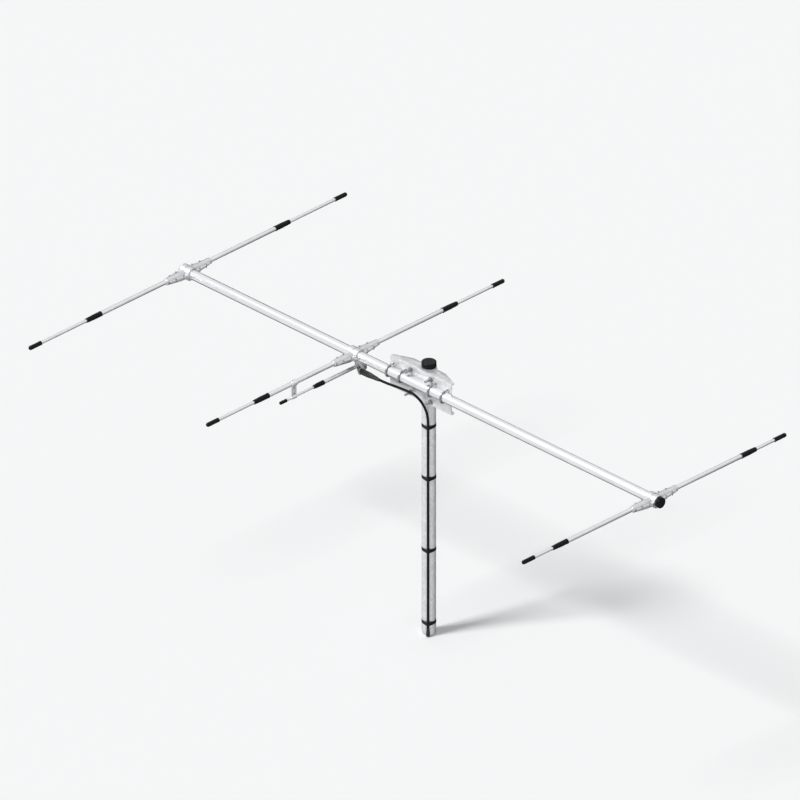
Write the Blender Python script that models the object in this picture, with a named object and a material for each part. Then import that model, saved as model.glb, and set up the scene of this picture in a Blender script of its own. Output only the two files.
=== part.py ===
"""Three-element yagi antenna with a gamma match, clamped to a short mast.

Units are metres. +X runs along the boom from the reflector to the director, +Y along the elements
and +Z up. The origin is the centre of the mast's lower end. Seen along +X, left is +Y.
"""

import math

import bmesh
import bpy
from mathutils import Matrix, Vector
from mathutils.geometry import interpolate_bezier

# Fits
FIT_GAP = 0.0003
CUT_PAST = 0.02
HOLE_SIDES = 8
BOLT_SIDES = 12
TUBE_SIDES = 16
PIPE_SIDES = 28

# Mast
MAST_RADIUS = 0.035
MAST_WALL = 0.004
MAST_HEIGHT = 1.512
MAST_CAP_TOP = 0.003
MAST_CAP_WALL = 0.0024
MAST_CAP_SKIRT = 0.0235
PLUG_CLEARANCE = 0.0006
PLUG_WALL = 0.003
RIM_CHAMFER = 0.002

# Boom
BOOM_RADIUS = 0.0254
BOOM_WALL = 0.003
BOOM_Y = -0.0824
BOOM_Z = 1.421
BOOM_REAR_X = -1.622
BOOM_FRONT_X = 1.687
BOOM_CAP_LENGTH = 0.0144
BOOM_CAP_WALL = 0.0024
BOOM_CAP_END = 0.0026
BOOM_PLUG_LIP = 0.002
BOOM_PLUG_DEPTH = 0.025

# Elements: place along the boom and length of each half, from the boom's axis to the tip
ELEMENTS = {
    "reflector": (-1.583, 1.097),
    "driven": (-0.426, 1.028),
    "director": (1.638, 0.911),
}
ELEMENT_RISE = 0.0050
BASE_TUBE_RADIUS = 0.0111
BASE_TUBE_BORE = 0.0083
BASE_TUBE_START = 0.030
BASE_TUBE_END = 0.655
TIP_TUBE_RADIUS = 0.00795
TIP_TUBE_BORE = 0.0063
TIP_TUBE_START = 0.535
TIP_TUBE_INSET = 0.006
SLEEVE_START = 0.601
SLEEVE_END = 0.702
SLEEVE_RADIUS = 0.0138
SLEEVE_EDGE = 0.001
TIP_CAP_LENGTH = 0.081
TIP_CAP_RADIUS = 0.0116

# Element clamps: two cast halves that meet at the height of the element tubes
CLAMP_REACH = 0.153
CLAMP_HALF_LENGTH = 0.034
CLAMP_CROWN_RADIUS = 0.0165
CLAMP_ARCH_RADIUS = 0.0340
CLAMP_GROOVE_RADIUS = 0.0300
CLAMP_GROOVE = (-0.005, 0.007)
CLAMP_END_INSET = 0.001
CLAMP_LEDGE_WIDTH = 0.005
CLAMP_LEDGE_REACH = (0.0278, 0.0355)
CLAMP_LEDGE_ANGLE = 38
CLAMP_FLANGE = 0.004
CLAMP_FLANGE_END = 0.136
CLAMP_FLANGE_TIP = 0.022
CLAMP_BLOCK_HALF_WIDTH = 0.044
CLAMP_SADDLE_SHOULDER = 0.0150
CLAMP_SADDLE_FOOT = 0.0360
CLAMP_SADDLE_FOOT_HALF_WIDTH = 0.020
CLAMP_WEB = 0.008
CLAMP_WEB_END = 0.149
CLAMP_WEB_DEPTHS = (0.0200, 0.0365)
CLAMP_TUBE_BORE = 0.0115
CLAMP_BOOM_BORE = 0.0258
CLAMP_BOLTS = ((0.0270, 0.056), (0.0225, 0.104))
CLAMP_BOLT_HOLE = 0.0029
CLAMP_TAPPED_DEPTH = 0.013
CLAMP_FACE = FIT_GAP / 2
SMALL_SCREW_HOLE = 0.0029

# Gamma match, under the right half of the driven element
GAMMA_DROP = 0.0775
GAMMA_TUBE_RADIUS = 0.0095
GAMMA_TUBE_BORE = 0.0079
GAMMA_TUBE_START = -0.035
GAMMA_TUBE_END = 0.275
GAMMA_SLEEVE_START = 0.220
GAMMA_SLEEVE_END = 0.290
GAMMA_SLEEVE_RADIUS = 0.0125
GAMMA_SLEEVE_SHOULDER = 0.040
GAMMA_SLEEVE_END_RADII = (0.0095, 0.0085)
GAMMA_INSULATOR_START = 0.040
GAMMA_INSULATOR_INSET = 0.001
GAMMA_ROD_RADIUS = 0.0060
GAMMA_ROD_START = 0.060
GAMMA_ROD_END = 0.523
GAMMA_CAP_LENGTH = 0.046
GAMMA_CAP_RADIUS = 0.0092
GAMMA_CAP_INSET = 0.005
GAMMA_BLOCK_HALF_HEIGHT = 0.014
GAMMA_BLOCK_REAR_X = -0.015
GAMMA_BLOCK_Y = (0.010, 0.032)
STRAP_PLACE = 0.426
STRAP_WIDTH = 0.034
STRAP_THICKNESS = 0.003
STRAP_RING_RADIUS = 0.0150
STRAP_CLAMP_RADIUS = 0.0095
STRAP_SLIDE_GAP = 0.0005
STRAP_ROOT = 0.001
STRAP_SCREW_INSET = 0.010
STRAP_SCREW_HOLE = 0.0024

# Feed plate, in the plane across the boom just in front of the driven element's clamp
FEED_PLATE_THICKNESS = 0.003
FEED_PLATE_HALF_WIDTH = 0.043
FEED_PLATE_NOTCH = 0.0264
FEED_PLATE_TOP = 0.002
FEED_PLATE_CORNERS = (-0.0125, -0.082)
FEED_PLATE_CURVE = (0.020, 205, 300, (0.004, -0.0842))
FEED_SCREW_Y = 0.036
FEED_SCREW_Z = -0.008
SOCKET_DROP = 0.0812
SOCKET_HOLE = 0.0082
SOCKET_FLANGE = 0.0127
SOCKET_FLANGE_THICKNESS = 0.003
SOCKET_BARREL = (0.0076, -0.004, 0.015)
SOCKET_CONTACT = (0.0016, -0.0170, -0.001)

# Boom-to-mast plate
PLATE_HALF_LENGTH = 0.2115
PLATE_FRONT_Y = -0.0567
PLATE_THICKNESS = 0.004
PLATE_BOTTOM = 1.318
PLATE_TOP = 1.487
PLATE_END_DEPTH = 0.022
PLATE_SHOULDER_X = 0.110
PLATE_BACK_Y = 0.006
MAST_NOTCH_RADIUS = 0.0356
U_BOLT_PLACES = (-0.188, -0.101, 0.101, 0.188)
U_BOLT_ROD = 0.0042
U_BOLT_BEND = 0.0303
U_BOLT_TAIL_Y = -0.030
U_BOLT_WASHER = (0.0090, 0.0016)
U_BOLT_NUT = (0.0075, 0.0065)
BOLT_CLEARANCE = 0.0008
MAST_BOLT_X = 0.069
MAST_BOLT_HEIGHTS = (1.337, 1.463)
MAST_BOLT_RADIUS = 0.0060
MAST_BOLT_FRONT_Y = -0.0970
MAST_NUT_CORNER = 0.0108
MAST_NUT_HEIGHT = 0.0098
MAST_WASHER = (0.0138, 0.0024)
MAST_HEAD_HEIGHT = 0.0075
MAST_HEAD_WASHER = (0.0125, 0.002)
MAST_BOLT_CHAMFER = 0.001
MAST_STRAP_WIDTH = 0.030
MAST_STRAP_THICKNESS = 0.006
MAST_STRAP_EAR_Y = 0.008
MAST_STRAP_EAR_REACH = 0.018

# Coax cable and connectors
COAX_RADIUS = 0.0065
COAX_SPACING = 0.036
COAX_JOIN_HEIGHT = 1.178

# Plug and boot as (radius, distance in front of the feed plate); end plug as (radius, height)
PLUG_OUTLINE = (
    (0.0081, 0.0042),
    (0.0093, 0.0042),
    (0.0093, 0.0220),
    (0.0070, 0.0240),
    (0.0070, 0.0400),
    (0.0, 0.0400),
    (0.0, 0.0156),
    (0.0081, 0.0156),
)
BOOT_OUTLINE = (
    (0.0098, 0.0040),
    (0.0148, 0.0040),
    (0.0158, 0.0050),
    (0.0158, 0.0540),
    (0.0146, 0.0680),
    (0.0080, 0.1270),
    (0.0072, 0.1300),
    (0.0, 0.1300),
    (0.0, 0.0430),
    (0.0074, 0.0430),
    (0.0074, 0.0245),
    (0.0098, 0.0224),
)
END_PLUG_OUTLINE = (
    (0.0, 0.0470),
    (0.0076, 0.0470),
    (0.0080, 0.0270),
    (0.0095, 0.0255),
    (0.0095, 0.0040),
    (0.0085, 0.0030),
    (0.0072, 0.0030),
    (0.0072, 0.0130),
    (0.0020, 0.0130),
    (0.0020, 0.0050),
    (0.0, 0.0050),
)
COAX_ROUTE = (
    (-0.2580, -0.0826, 1.3405),
    (-0.2000, -0.0826, 1.3432),
    (-0.1300, -0.0828, 1.3505),
    (-0.0690, -0.0830, 1.3545),
    (-0.0250, -0.0820, 1.3535),
    (0.0110, -0.0775, 1.3360),
    (0.0290, -0.0680, 1.3080),
    (0.0322, -0.0540, 1.2750),
    (0.0290, -0.0405, 1.2400),
    (0.0268, -0.0334, 1.2050),
    (0.0265, -0.0324, 1.1650),
    (0.0265, -0.0324, 0.8770),
    (0.0265, -0.0324, 0.4740),
    (0.0265, -0.0324, 0.1500),
    (0.0273, -0.0334, 0.0680),
    (0.0286, -0.0349, 0.0475),
)

FINISHES = {
    "aluminium_tube": ((0.80, 0.81, 0.82), 0.34, 1.0),
    "cast_aluminium": ((0.72, 0.73, 0.74), 0.50, 1.0),
    "galvanised_steel": ((0.66, 0.68, 0.70), 0.45, 1.0),
    "zinc_hardware": ((0.62, 0.63, 0.64), 0.38, 1.0),
    "black_vinyl": ((0.012, 0.012, 0.013), 0.35, 0.0),
    "black_rubber": ((0.015, 0.015, 0.015), 0.60, 0.0),
    "black_jacket": ((0.014, 0.014, 0.015), 0.42, 0.0),
    "nickel_brass": ((0.70, 0.67, 0.60), 0.25, 1.0),
    "white_insulator": ((0.85, 0.84, 0.80), 0.45, 0.0),
}

ALONG_PLUS_X = Matrix.Rotation(math.pi / 2, 4, "Y")
ALONG_MINUS_X = Matrix.Rotation(-math.pi / 2, 4, "Y")
ALONG_PLUS_Y = Matrix.Rotation(-math.pi / 2, 4, "X")
ALONG_MINUS_Y = Matrix.Rotation(math.pi / 2, 4, "X")
# An outline drawn in XY stands in the plane across the boom: its X becomes Y, and its Y becomes Z.
ACROSS_BOOM = Matrix(((0, 0, 1, 0), (1, 0, 0, 0), (0, 1, 0, 0), (0, 0, 0, 1)))


# ---------------------------------------------------------------- modelling helpers


def finish(name):
    """Principled material of the named finish, made once."""
    if name in bpy.data.materials:
        return bpy.data.materials[name]
    colour, roughness, metallic = FINISHES[name]
    surface = bpy.data.materials.new(name)
    surface.use_nodes = True
    shader = surface.node_tree.nodes["Principled BSDF"]
    shader.inputs["Base Color"].default_value = (*colour, 1.0)
    shader.inputs["Roughness"].default_value = roughness
    shader.inputs["Metallic"].default_value = metallic
    return surface


def frame(name, place, parent=None):
    """Empty that carries a group of pieces."""
    empty = bpy.data.objects.new(name, None)
    bpy.context.scene.collection.objects.link(empty)
    empty.parent = parent
    empty.location = place
    return empty


def piece(name, mesh, surface, parent=None, place=(0, 0, 0), turn=None):
    """Object of one sub-part, with its finish, placed in its parent's frame."""
    item = bpy.data.objects.new(name, mesh)
    bpy.context.scene.collection.objects.link(item)
    if surface and not mesh.materials:
        mesh.materials.append(finish(surface))
    mesh.shade_smooth()
    mesh.set_sharp_from_angle(angle=math.radians(35))
    item.parent = parent
    item.matrix_basis = Matrix.Translation(place) @ (turn or Matrix.Identity(4))
    return item


def loft(name, rings):
    """Closed solid through a loop of rings; a ring of one point closes that end."""
    solid = bmesh.new()
    loops = [[solid.verts.new(point) for point in ring] for ring in rings]
    for lower, upper in zip(loops, loops[1:] + loops[:1]):
        count = max(len(lower), len(upper))
        if count == 1:
            continue
        for step in range(count):
            after = (step + 1) % count
            corners = [lower[step % len(lower)], lower[after % len(lower)]]
            corners += [upper[after % len(upper)], upper[step % len(upper)]]
            solid.faces.new(list(dict.fromkeys(corners)))
    bmesh.ops.recalc_face_normals(solid, faces=solid.faces)
    mesh = bpy.data.meshes.new(name)
    solid.to_mesh(mesh)
    solid.free()
    return mesh


def polar(radius, sides, hexagon=False):
    """Offsets round a circle, or round a hexagon of that corner radius."""
    offsets = []
    for step in range(sides):
        angle = math.tau * step / sides
        reach = radius
        if hexagon:
            from_flat = angle % (math.pi / 3) - math.pi / 6
            reach = radius * math.cos(math.pi / 6) / math.cos(from_flat)
        offsets.append((reach * math.cos(angle), reach * math.sin(angle)))
    return offsets


def turned(name, outline, sides=TUBE_SIDES):
    """Solid turned about local Z from a closed outline of (radius, height) or (radius, height, "hex")."""
    rings = []
    for radius, height, *shape in outline:
        if radius == 0:
            rings.append([(0, 0, height)])
        else:
            rings.append([(x, y, height) for x, y in polar(radius, sides, bool(shape))])
    return loft(name, rings)


def tube(name, start, end, outer, bore, sides=TUBE_SIDES):
    """Round tube along local Z from start to end."""
    return turned(name, [(outer, start), (outer, end), (bore, end), (bore, start)], sides)


def arc(radius, first, last, steps, centre=(0, 0)):
    """Points along an arc between two angles in degrees, ends included."""
    points = []
    for step in range(steps + 1):
        angle = math.radians(first + (last - first) * step / steps)
        points.append((centre[0] + radius * math.cos(angle), centre[1] + radius * math.sin(angle)))
    return points


def prism(name, outline, low, high):
    """Flat outline in local XY, thickened from low to high along Z."""
    solid = bmesh.new()
    base = solid.faces.new([solid.verts.new((x, y, low)) for x, y in outline])
    walls = bmesh.ops.extrude_face_region(solid, geom=[base])
    raised = [item for item in walls["geom"] if isinstance(item, bmesh.types.BMVert)]
    bmesh.ops.translate(solid, verts=raised, vec=(0, 0, high - low))
    bmesh.ops.recalc_face_normals(solid, faces=solid.faces)
    mesh = bpy.data.meshes.new(name)
    solid.to_mesh(mesh)
    solid.free()
    return mesh


def block(name, low, high):
    """Box between two corners."""
    outline = [(low[0], low[1]), (high[0], low[1]), (high[0], high[1]), (low[0], high[1])]
    return prism(name, outline, low[2], high[2])


def moved(mesh, *steps):
    """The mesh itself after one or more matrices, applied in order."""
    for step in steps:
        mesh.transform(step)
    return mesh


def combine(base, tools, operation):
    """Mesh of base after an exact Boolean with each tool mesh in turn."""
    scene_objects = bpy.context.scene.collection.objects
    for tool in tools:
        body = bpy.data.objects.new("body", base)
        helper = bpy.data.objects.new("helper", tool)
        scene_objects.link(body)
        scene_objects.link(helper)
        modifier = body.modifiers.new("combine", "BOOLEAN")
        modifier.operation = operation
        modifier.solver = "EXACT"
        modifier.object = helper
        bpy.context.view_layer.update()
        evaluated = body.evaluated_get(bpy.context.evaluated_depsgraph_get())
        result = bpy.data.meshes.new_from_object(evaluated)
        result.name = base.name
        bpy.data.objects.remove(body)
        bpy.data.objects.remove(helper)
        base = result
    return base


def union(base, *tools):
    return combine(base, tools, "UNION")


def cut(base, *tools):
    return combine(base, tools, "DIFFERENCE")


def rod(name, radius, start, end, sides=TUBE_SIDES):
    """Solid round bar along local Z."""
    return turned(name, [(0, start), (radius, start), (radius, end), (0, end)], sides)


def cord_curve(name, points, radius, surface, parent=None):
    """Round cord through points, with closed ends."""
    curve = bpy.data.curves.new(name, "CURVE")
    curve.dimensions = "3D"
    curve.bevel_depth = radius
    curve.bevel_resolution = 2
    curve.use_fill_caps = True
    line = curve.splines.new("POLY")
    line.points.add(len(points) - 1)
    for slot, point in zip(line.points, points):
        slot.co = (*point, 1.0)
    curve.materials.append(finish(surface))
    item = bpy.data.objects.new(name, curve)
    bpy.context.scene.collection.objects.link(item)
    item.parent = parent
    return item


# ---------------------------------------------------------------- mast and its cable


def smooth_route(route, spacing):
    """Points a fixed spacing apart on a smooth curve through the route."""
    points = [Vector(point) for point in route]
    slopes = [points[1] - points[0]]
    slopes += [(after - before) / 2 for before, after in zip(points, points[2:])]
    slopes.append(points[-1] - points[-2])
    dense = []
    for index in range(len(points) - 1):
        first, last = points[index], points[index + 1]
        span = (last - first).length
        lead = first + slopes[index].normalized() * span / 3
        tail = last - slopes[index + 1].normalized() * span / 3
        dense += interpolate_bezier(first, lead, tail, last, 40)[:-1]
    dense.append(points[-1])
    walked = [0.0]
    for before, after in zip(dense, dense[1:]):
        walked.append(walked[-1] + (after - before).length)
    count = max(2, round(walked[-1] / spacing))
    spaced = []
    index = 0
    for step in range(count + 1):
        goal = walked[-1] * step / count
        while index < len(walked) - 2 and walked[index + 1] < goal:
            index += 1
        share = (goal - walked[index]) / (walked[index + 1] - walked[index])
        spaced.append(dense[index].lerp(dense[index + 1], min(1.0, share)))
    return spaced


def split_at_height(route, height):
    """Two stretches of a route that falls past a height once, with a point of their own there."""
    for index, (before, after) in enumerate(zip(route, route[1:])):
        if before.z > height >= after.z:
            crossing = before.lerp(after, (before.z - height) / (before.z - after.z))
            gap = (after - before).normalized() * FIT_GAP
            return route[: index + 1] + [crossing], [crossing + gap] + route[index + 1 :]
    raise ValueError("the route never falls past that height")


def build_mast():
    parent = frame("mast_frame", (0, 0, 0))
    bore = MAST_RADIUS - MAST_WALL
    mesh = tube("mast_tube", 0, MAST_HEIGHT, MAST_RADIUS, bore, PIPE_SIDES)
    piece("mast_tube", mesh, "galvanised_steel", parent)
    seat = MAST_HEIGHT + FIT_GAP
    mouth = seat - MAST_CAP_SKIRT
    top = seat + MAST_CAP_TOP
    skirt = MAST_RADIUS + FIT_GAP
    outer = skirt + MAST_CAP_WALL
    cap = [(0, top), (outer - RIM_CHAMFER, top), (outer, top - RIM_CHAMFER), (outer, mouth)]
    cap += [(skirt, mouth), (skirt, seat), (0, seat)]
    piece("mast_cap", turned("mast_cap", cap, PIPE_SIDES), "black_vinyl", parent)


def build_coax():
    """The cable in two lengths, one that turns with the boom and one taped down the mast."""
    feed, held = split_at_height(smooth_route(COAX_ROUTE, COAX_SPACING), COAX_JOIN_HEIGHT)
    cord_curve("coax_feed", feed, COAX_RADIUS, "black_jacket")
    cord_curve("coax_mast", held, COAX_RADIUS, "black_jacket")
    end = (COAX_ROUTE[-1][0], COAX_ROUTE[-1][1], 0)
    piece("coax_end_plug", turned("coax_end_plug", END_PLUG_OUTLINE), "black_rubber", place=end)


# ---------------------------------------------------------------- boom


def build_boom(boom_frame):
    length = BOOM_FRONT_X - BOOM_REAR_X
    bore = BOOM_RADIUS - BOOM_WALL
    mesh = tube("boom_tube", 0, length, BOOM_RADIUS, bore, PIPE_SIDES)
    piece("boom_tube", mesh, "aluminium_tube", boom_frame, (BOOM_REAR_X, 0, 0), ALONG_PLUS_X)

    skirt = BOOM_RADIUS + FIT_GAP
    outer = skirt + BOOM_CAP_WALL
    top = FIT_GAP + BOOM_CAP_END
    cap = [(0, top), (outer - RIM_CHAMFER, top), (outer, top - RIM_CHAMFER), (outer, -BOOM_CAP_LENGTH)]
    cap += [(skirt, -BOOM_CAP_LENGTH), (skirt, FIT_GAP), (0, FIT_GAP)]
    mesh = turned("boom_cap_front", cap, PIPE_SIDES)
    piece("boom_cap_front", mesh, "black_vinyl", boom_frame, (BOOM_FRONT_X, 0, 0), ALONG_PLUS_X)

    plug = bore - PLUG_CLEARANCE
    rim = BOOM_RADIUS - FIT_GAP
    top = FIT_GAP + BOOM_PLUG_LIP
    rear = [(0, top), (rim, top), (rim, FIT_GAP), (plug, FIT_GAP), (plug, -BOOM_PLUG_DEPTH)]
    rear += [(plug - PLUG_WALL, -BOOM_PLUG_DEPTH), (plug - PLUG_WALL, 0), (0, 0)]
    mesh = turned("boom_plug_rear", rear, PIPE_SIDES)
    piece("boom_plug_rear", mesh, "black_vinyl", boom_frame, (BOOM_REAR_X, 0, 0), ALONG_MINUS_X)


# ---------------------------------------------------------------- elements


def flange_outline():
    """Plan of a clamp's flange: widest at the boom, narrower at both ends."""
    wide, tip = CLAMP_HALF_LENGTH, CLAMP_FLANGE_TIP
    right = [(tip, -CLAMP_FLANGE_END), (wide, -CLAMP_BLOCK_HALF_WIDTH)]
    right += [(wide, CLAMP_BLOCK_HALF_WIDTH), (tip, CLAMP_FLANGE_END)]
    return right + [(-x, -y) for x, y in right]


def boom_bar(name, radius, half_length, sides=PIPE_SIDES):
    """Bar along the boom's axis, seen from an element's frame."""
    bar = rod(name, radius, -half_length, half_length, sides)
    return moved(bar, ALONG_PLUS_X, Matrix.Translation((0, 0, -ELEMENT_RISE)))


def element_bar(name, radius, half_length, sides=TUBE_SIDES):
    return moved(rod(name, radius, -half_length, half_length, sides), ALONG_PLUS_Y)


def dome(radius, floor, steps=12):
    """Arc that rises from a floor on one side and comes back to it on the other."""
    lift = math.degrees(math.asin(floor / radius))
    return arc(radius, lift, 180 - lift, steps)


def boom_arch(name, radius, start, end):
    """Half round over the boom, down to the clamp's parting plane."""
    crest = [(y, z - ELEMENT_RISE) for y, z in dome(radius, CLAMP_FACE + ELEMENT_RISE)]
    return moved(prism(name, crest, start, end), ACROSS_BOOM)


def boom_ledge(half_length):
    """Low rib along the near shoulder of the arch."""
    half_width = CLAMP_LEDGE_WIDTH / 2
    low, high = CLAMP_LEDGE_REACH
    bar = block("ledge", (-half_length, -high, -half_width), (half_length, -low, half_width))
    lean = Matrix.Rotation(-math.radians(CLAMP_LEDGE_ANGLE), 4, "X")
    return moved(bar, lean, Matrix.Translation((0, 0, -ELEMENT_RISE)))


def element_crown(facing):
    """Half round over or under the element tubes, down to the parting plane."""
    crest = [(x, z * facing) for x, z in dome(CLAMP_CROWN_RADIUS, CLAMP_FACE, 8)]
    return moved(prism("crown", crest, -CLAMP_REACH, CLAMP_REACH), ALONG_MINUS_Y)


def bored_casting(casting, *more_holes):
    """A clamp half with its boom and tube bores and its bolt holes cut."""
    cutters = [boom_bar("boom_bore", CLAMP_BOOM_BORE, CLAMP_HALF_LENGTH + CUT_PAST)]
    cutters.append(element_bar("tube_bore", CLAMP_TUBE_BORE, CLAMP_REACH + CUT_PAST))
    for reach_x, reach_y in CLAMP_BOLTS:
        for x in (-reach_x, reach_x):
            for y in (-reach_y, reach_y):
                hole = rod("bolt_hole", CLAMP_BOLT_HOLE, -CUT_PAST, CUT_PAST, HOLE_SIDES)
                cutters.append(moved(hole, Matrix.Translation((x, y, 0))))
    return cut(casting, *cutters, *more_holes)


def clamp_upper_mesh():
    flange = prism("flange", flange_outline(), CLAMP_FACE, CLAMP_FLANGE)
    half = CLAMP_HALF_LENGTH - CLAMP_END_INSET
    groove = boom_arch("groove", CLAMP_GROOVE_RADIUS, -half, half)
    rear = boom_arch("rear", CLAMP_ARCH_RADIUS, -half, CLAMP_GROOVE[0])
    front = boom_arch("front", CLAMP_ARCH_RADIUS, CLAMP_GROOVE[1], half)
    return bored_casting(union(element_crown(1), flange, groove, rear, front, boom_ledge(half)))


def clamp_lower_mesh():
    flange = prism("flange", flange_outline(), -CLAMP_FLANGE, -CLAMP_FACE)
    wide, foot = CLAMP_BLOCK_HALF_WIDTH, CLAMP_SADDLE_FOOT_HALF_WIDTH
    saddle = [(-wide, -CLAMP_FACE), (-wide, -CLAMP_SADDLE_SHOULDER), (-foot, -CLAMP_SADDLE_FOOT)]
    saddle += [(foot, -CLAMP_SADDLE_FOOT), (wide, -CLAMP_SADDLE_SHOULDER), (wide, -CLAMP_FACE)]
    half = CLAMP_HALF_LENGTH - CLAMP_END_INSET
    saddle = moved(prism("saddle", saddle, -half, half), ACROSS_BOOM)
    end, (end_depth, root_depth) = CLAMP_WEB_END, CLAMP_WEB_DEPTHS
    web = [(-end, -CLAMP_FACE), (-end, -end_depth), (-wide, -root_depth)]
    web += [(wide, -root_depth), (end, -end_depth), (end, -CLAMP_FACE)]
    web = moved(prism("web", web, -CLAMP_WEB / 2, CLAMP_WEB / 2), ACROSS_BOOM)
    tapped = []
    for y in (-FEED_SCREW_Y, FEED_SCREW_Y):
        deep = CLAMP_HALF_LENGTH - CLAMP_TAPPED_DEPTH
        hole = rod("tapped", SMALL_SCREW_HOLE, deep, CLAMP_HALF_LENGTH + CUT_PAST, HOLE_SIDES)
        place = Matrix.Translation((0, y, FEED_SCREW_Z - ELEMENT_RISE))
        tapped.append(moved(hole, ALONG_PLUS_X, place))
    return bored_casting(union(element_crown(-1), flange, saddle, web), *tapped)


def sleeve_mesh():
    wide = BASE_TUBE_RADIUS + FIT_GAP
    narrow = TIP_TUBE_RADIUS + FIT_GAP
    shoulder = BASE_TUBE_END + FIT_GAP
    outer = SLEEVE_RADIUS
    outline = [(outer - SLEEVE_EDGE, SLEEVE_START), (outer, SLEEVE_START + SLEEVE_EDGE)]
    outline += [(outer, SLEEVE_END - RIM_CHAMFER), (outer - RIM_CHAMFER, SLEEVE_END), (narrow, SLEEVE_END)]
    outline += [(narrow, shoulder), (wide, shoulder), (wide, SLEEVE_START)]
    return turned("joint_sleeve", outline)


def round_cap(name, end, length, radius, bore, inset):
    """Push-on cap with a round nose at end, along local Z, and an open bore at its start."""
    outline = [(bore, end - length), (radius, end - length)]
    nose = arc(radius, 0, 90, 4)
    outline += [(x, end - radius + y) for x, y in nose[:-1]]
    outline += [(0, end), (0, end - inset), (bore, end - inset)]
    return turned(name, outline)


def build_element(name, place, half_length, boom_frame, shared):
    parent = frame(f"{name}_frame", (place, 0, ELEMENT_RISE), boom_frame)
    piece(f"{name}_clamp_upper", shared["upper"], "cast_aluminium", parent)
    piece(f"{name}_clamp_lower", shared["lower"], "cast_aluminium", parent)
    tip_tube = tube("tip_tube", TIP_TUBE_START, half_length - TIP_TUBE_INSET, TIP_TUBE_RADIUS, TIP_TUBE_BORE)
    bore, inset = TIP_TUBE_RADIUS + FIT_GAP, TIP_TUBE_INSET - FIT_GAP
    tip_cap = round_cap("tip_cap", half_length, TIP_CAP_LENGTH, TIP_CAP_RADIUS, bore, inset)
    for side, turn in (("left", ALONG_PLUS_Y), ("right", ALONG_MINUS_Y)):
        piece(f"{name}_base_tube_{side}", shared["base"], "aluminium_tube", parent, turn=turn)
        piece(f"{name}_joint_sleeve_{side}", shared["sleeve"], "black_vinyl", parent, turn=turn)
        piece(f"{name}_tip_tube_{side}", tip_tube, "aluminium_tube", parent, turn=turn)
        piece(f"{name}_tip_cap_{side}", tip_cap, "black_vinyl", parent, turn=turn)


def build_elements(boom_frame):
    shared = {
        "upper": clamp_upper_mesh(),
        "lower": clamp_lower_mesh(),
        "base": tube("base_tube", BASE_TUBE_START, BASE_TUBE_END, BASE_TUBE_RADIUS, BASE_TUBE_BORE),
        "sleeve": sleeve_mesh(),
    }
    for name, (place, half_length) in ELEMENTS.items():
        build_element(name, place, half_length, boom_frame, shared)


# ---------------------------------------------------------------- gamma match and feed plate


def shorting_strap_mesh():
    """Folded strap: a ring round the element, a web, and a ring round the gamma rod below it."""
    half, wall = STRAP_WIDTH / 2, STRAP_THICKNESS
    upper = tube("upper", -half, half, STRAP_RING_RADIUS, BASE_TUBE_RADIUS + STRAP_SLIDE_GAP)
    lower = tube("lower", -half, half, STRAP_CLAMP_RADIUS, GAMMA_ROD_RADIUS + STRAP_SLIDE_GAP)
    moved(upper, ALONG_PLUS_Y)
    moved(lower, ALONG_PLUS_Y, Matrix.Translation((0, 0, -GAMMA_DROP)))
    top, bottom = STRAP_ROOT - STRAP_RING_RADIUS, STRAP_CLAMP_RADIUS - STRAP_ROOT - GAMMA_DROP
    web = block("web", (-wall, -half, bottom), (wall, half, top))
    holes = []
    for height in (top - STRAP_SCREW_INSET, bottom + STRAP_SCREW_INSET):
        hole = rod("hole", STRAP_SCREW_HOLE, -CUT_PAST, CUT_PAST, HOLE_SIDES)
        holes.append(moved(hole, ALONG_PLUS_X, Matrix.Translation((0, 0, height))))
    return cut(union(upper, lower, web), *holes)


def feed_plate_mesh():
    """Outline in the plane across the boom: local X is world Y, local Y is world Z, from the boom's axis."""
    wide, notch, top = FEED_PLATE_HALF_WIDTH, FEED_PLATE_NOTCH, FEED_PLATE_TOP
    shoulder, foot = FEED_PLATE_CORNERS
    outline = [(wide, top), (notch, top)] + arc(notch, 360, 180, 20)[1:-1] + [(-notch, top), (-wide, top)]
    radius, first, last, centre = FEED_PLATE_CURVE
    outline += [(-wide, shoulder)] + arc(radius, first, last, 10, centre) + [(wide, foot)]
    holes = [rod("hole", SOCKET_HOLE, -CUT_PAST, CUT_PAST)]
    moved(holes[0], Matrix.Translation((0, -SOCKET_DROP, 0)))
    for y in (-FEED_SCREW_Y, FEED_SCREW_Y):
        hole = rod("hole", SMALL_SCREW_HOLE, -CUT_PAST, CUT_PAST, HOLE_SIDES)
        holes.append(moved(hole, Matrix.Translation((y, FEED_SCREW_Z, 0))))
    return moved(cut(prism("feed_plate", outline, 0, FEED_PLATE_THICKNESS), *holes), ACROSS_BOOM)


def socket_mesh():
    """Square-flanged socket with its threaded barrel in front of the plate and its contact behind."""
    half = SOCKET_FLANGE
    flange = block("flange", (-half, -half, FIT_GAP), (half, half, FIT_GAP + SOCKET_FLANGE_THICKNESS))
    barrel = rod("barrel", *SOCKET_BARREL)
    contact = rod("contact", *SOCKET_CONTACT, HOLE_SIDES)
    return moved(union(flange, barrel, contact), ALONG_PLUS_X)


def build_feed(boom_frame):
    back = ELEMENTS["driven"][0] + CLAMP_HALF_LENGTH + FIT_GAP
    piece("feed_plate", feed_plate_mesh(), "aluminium_tube", boom_frame, (back, 0, 0))
    socket_frame = frame("socket_frame", (back + FEED_PLATE_THICKNESS, 0, -SOCKET_DROP), boom_frame)
    piece("coax_socket", socket_mesh(), "nickel_brass", socket_frame)
    piece("coax_plug", turned("coax_plug", PLUG_OUTLINE), "nickel_brass", socket_frame, turn=ALONG_PLUS_X)
    piece("coax_boot", turned("coax_boot", BOOT_OUTLINE), "black_rubber", socket_frame, turn=ALONG_PLUS_X)


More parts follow.
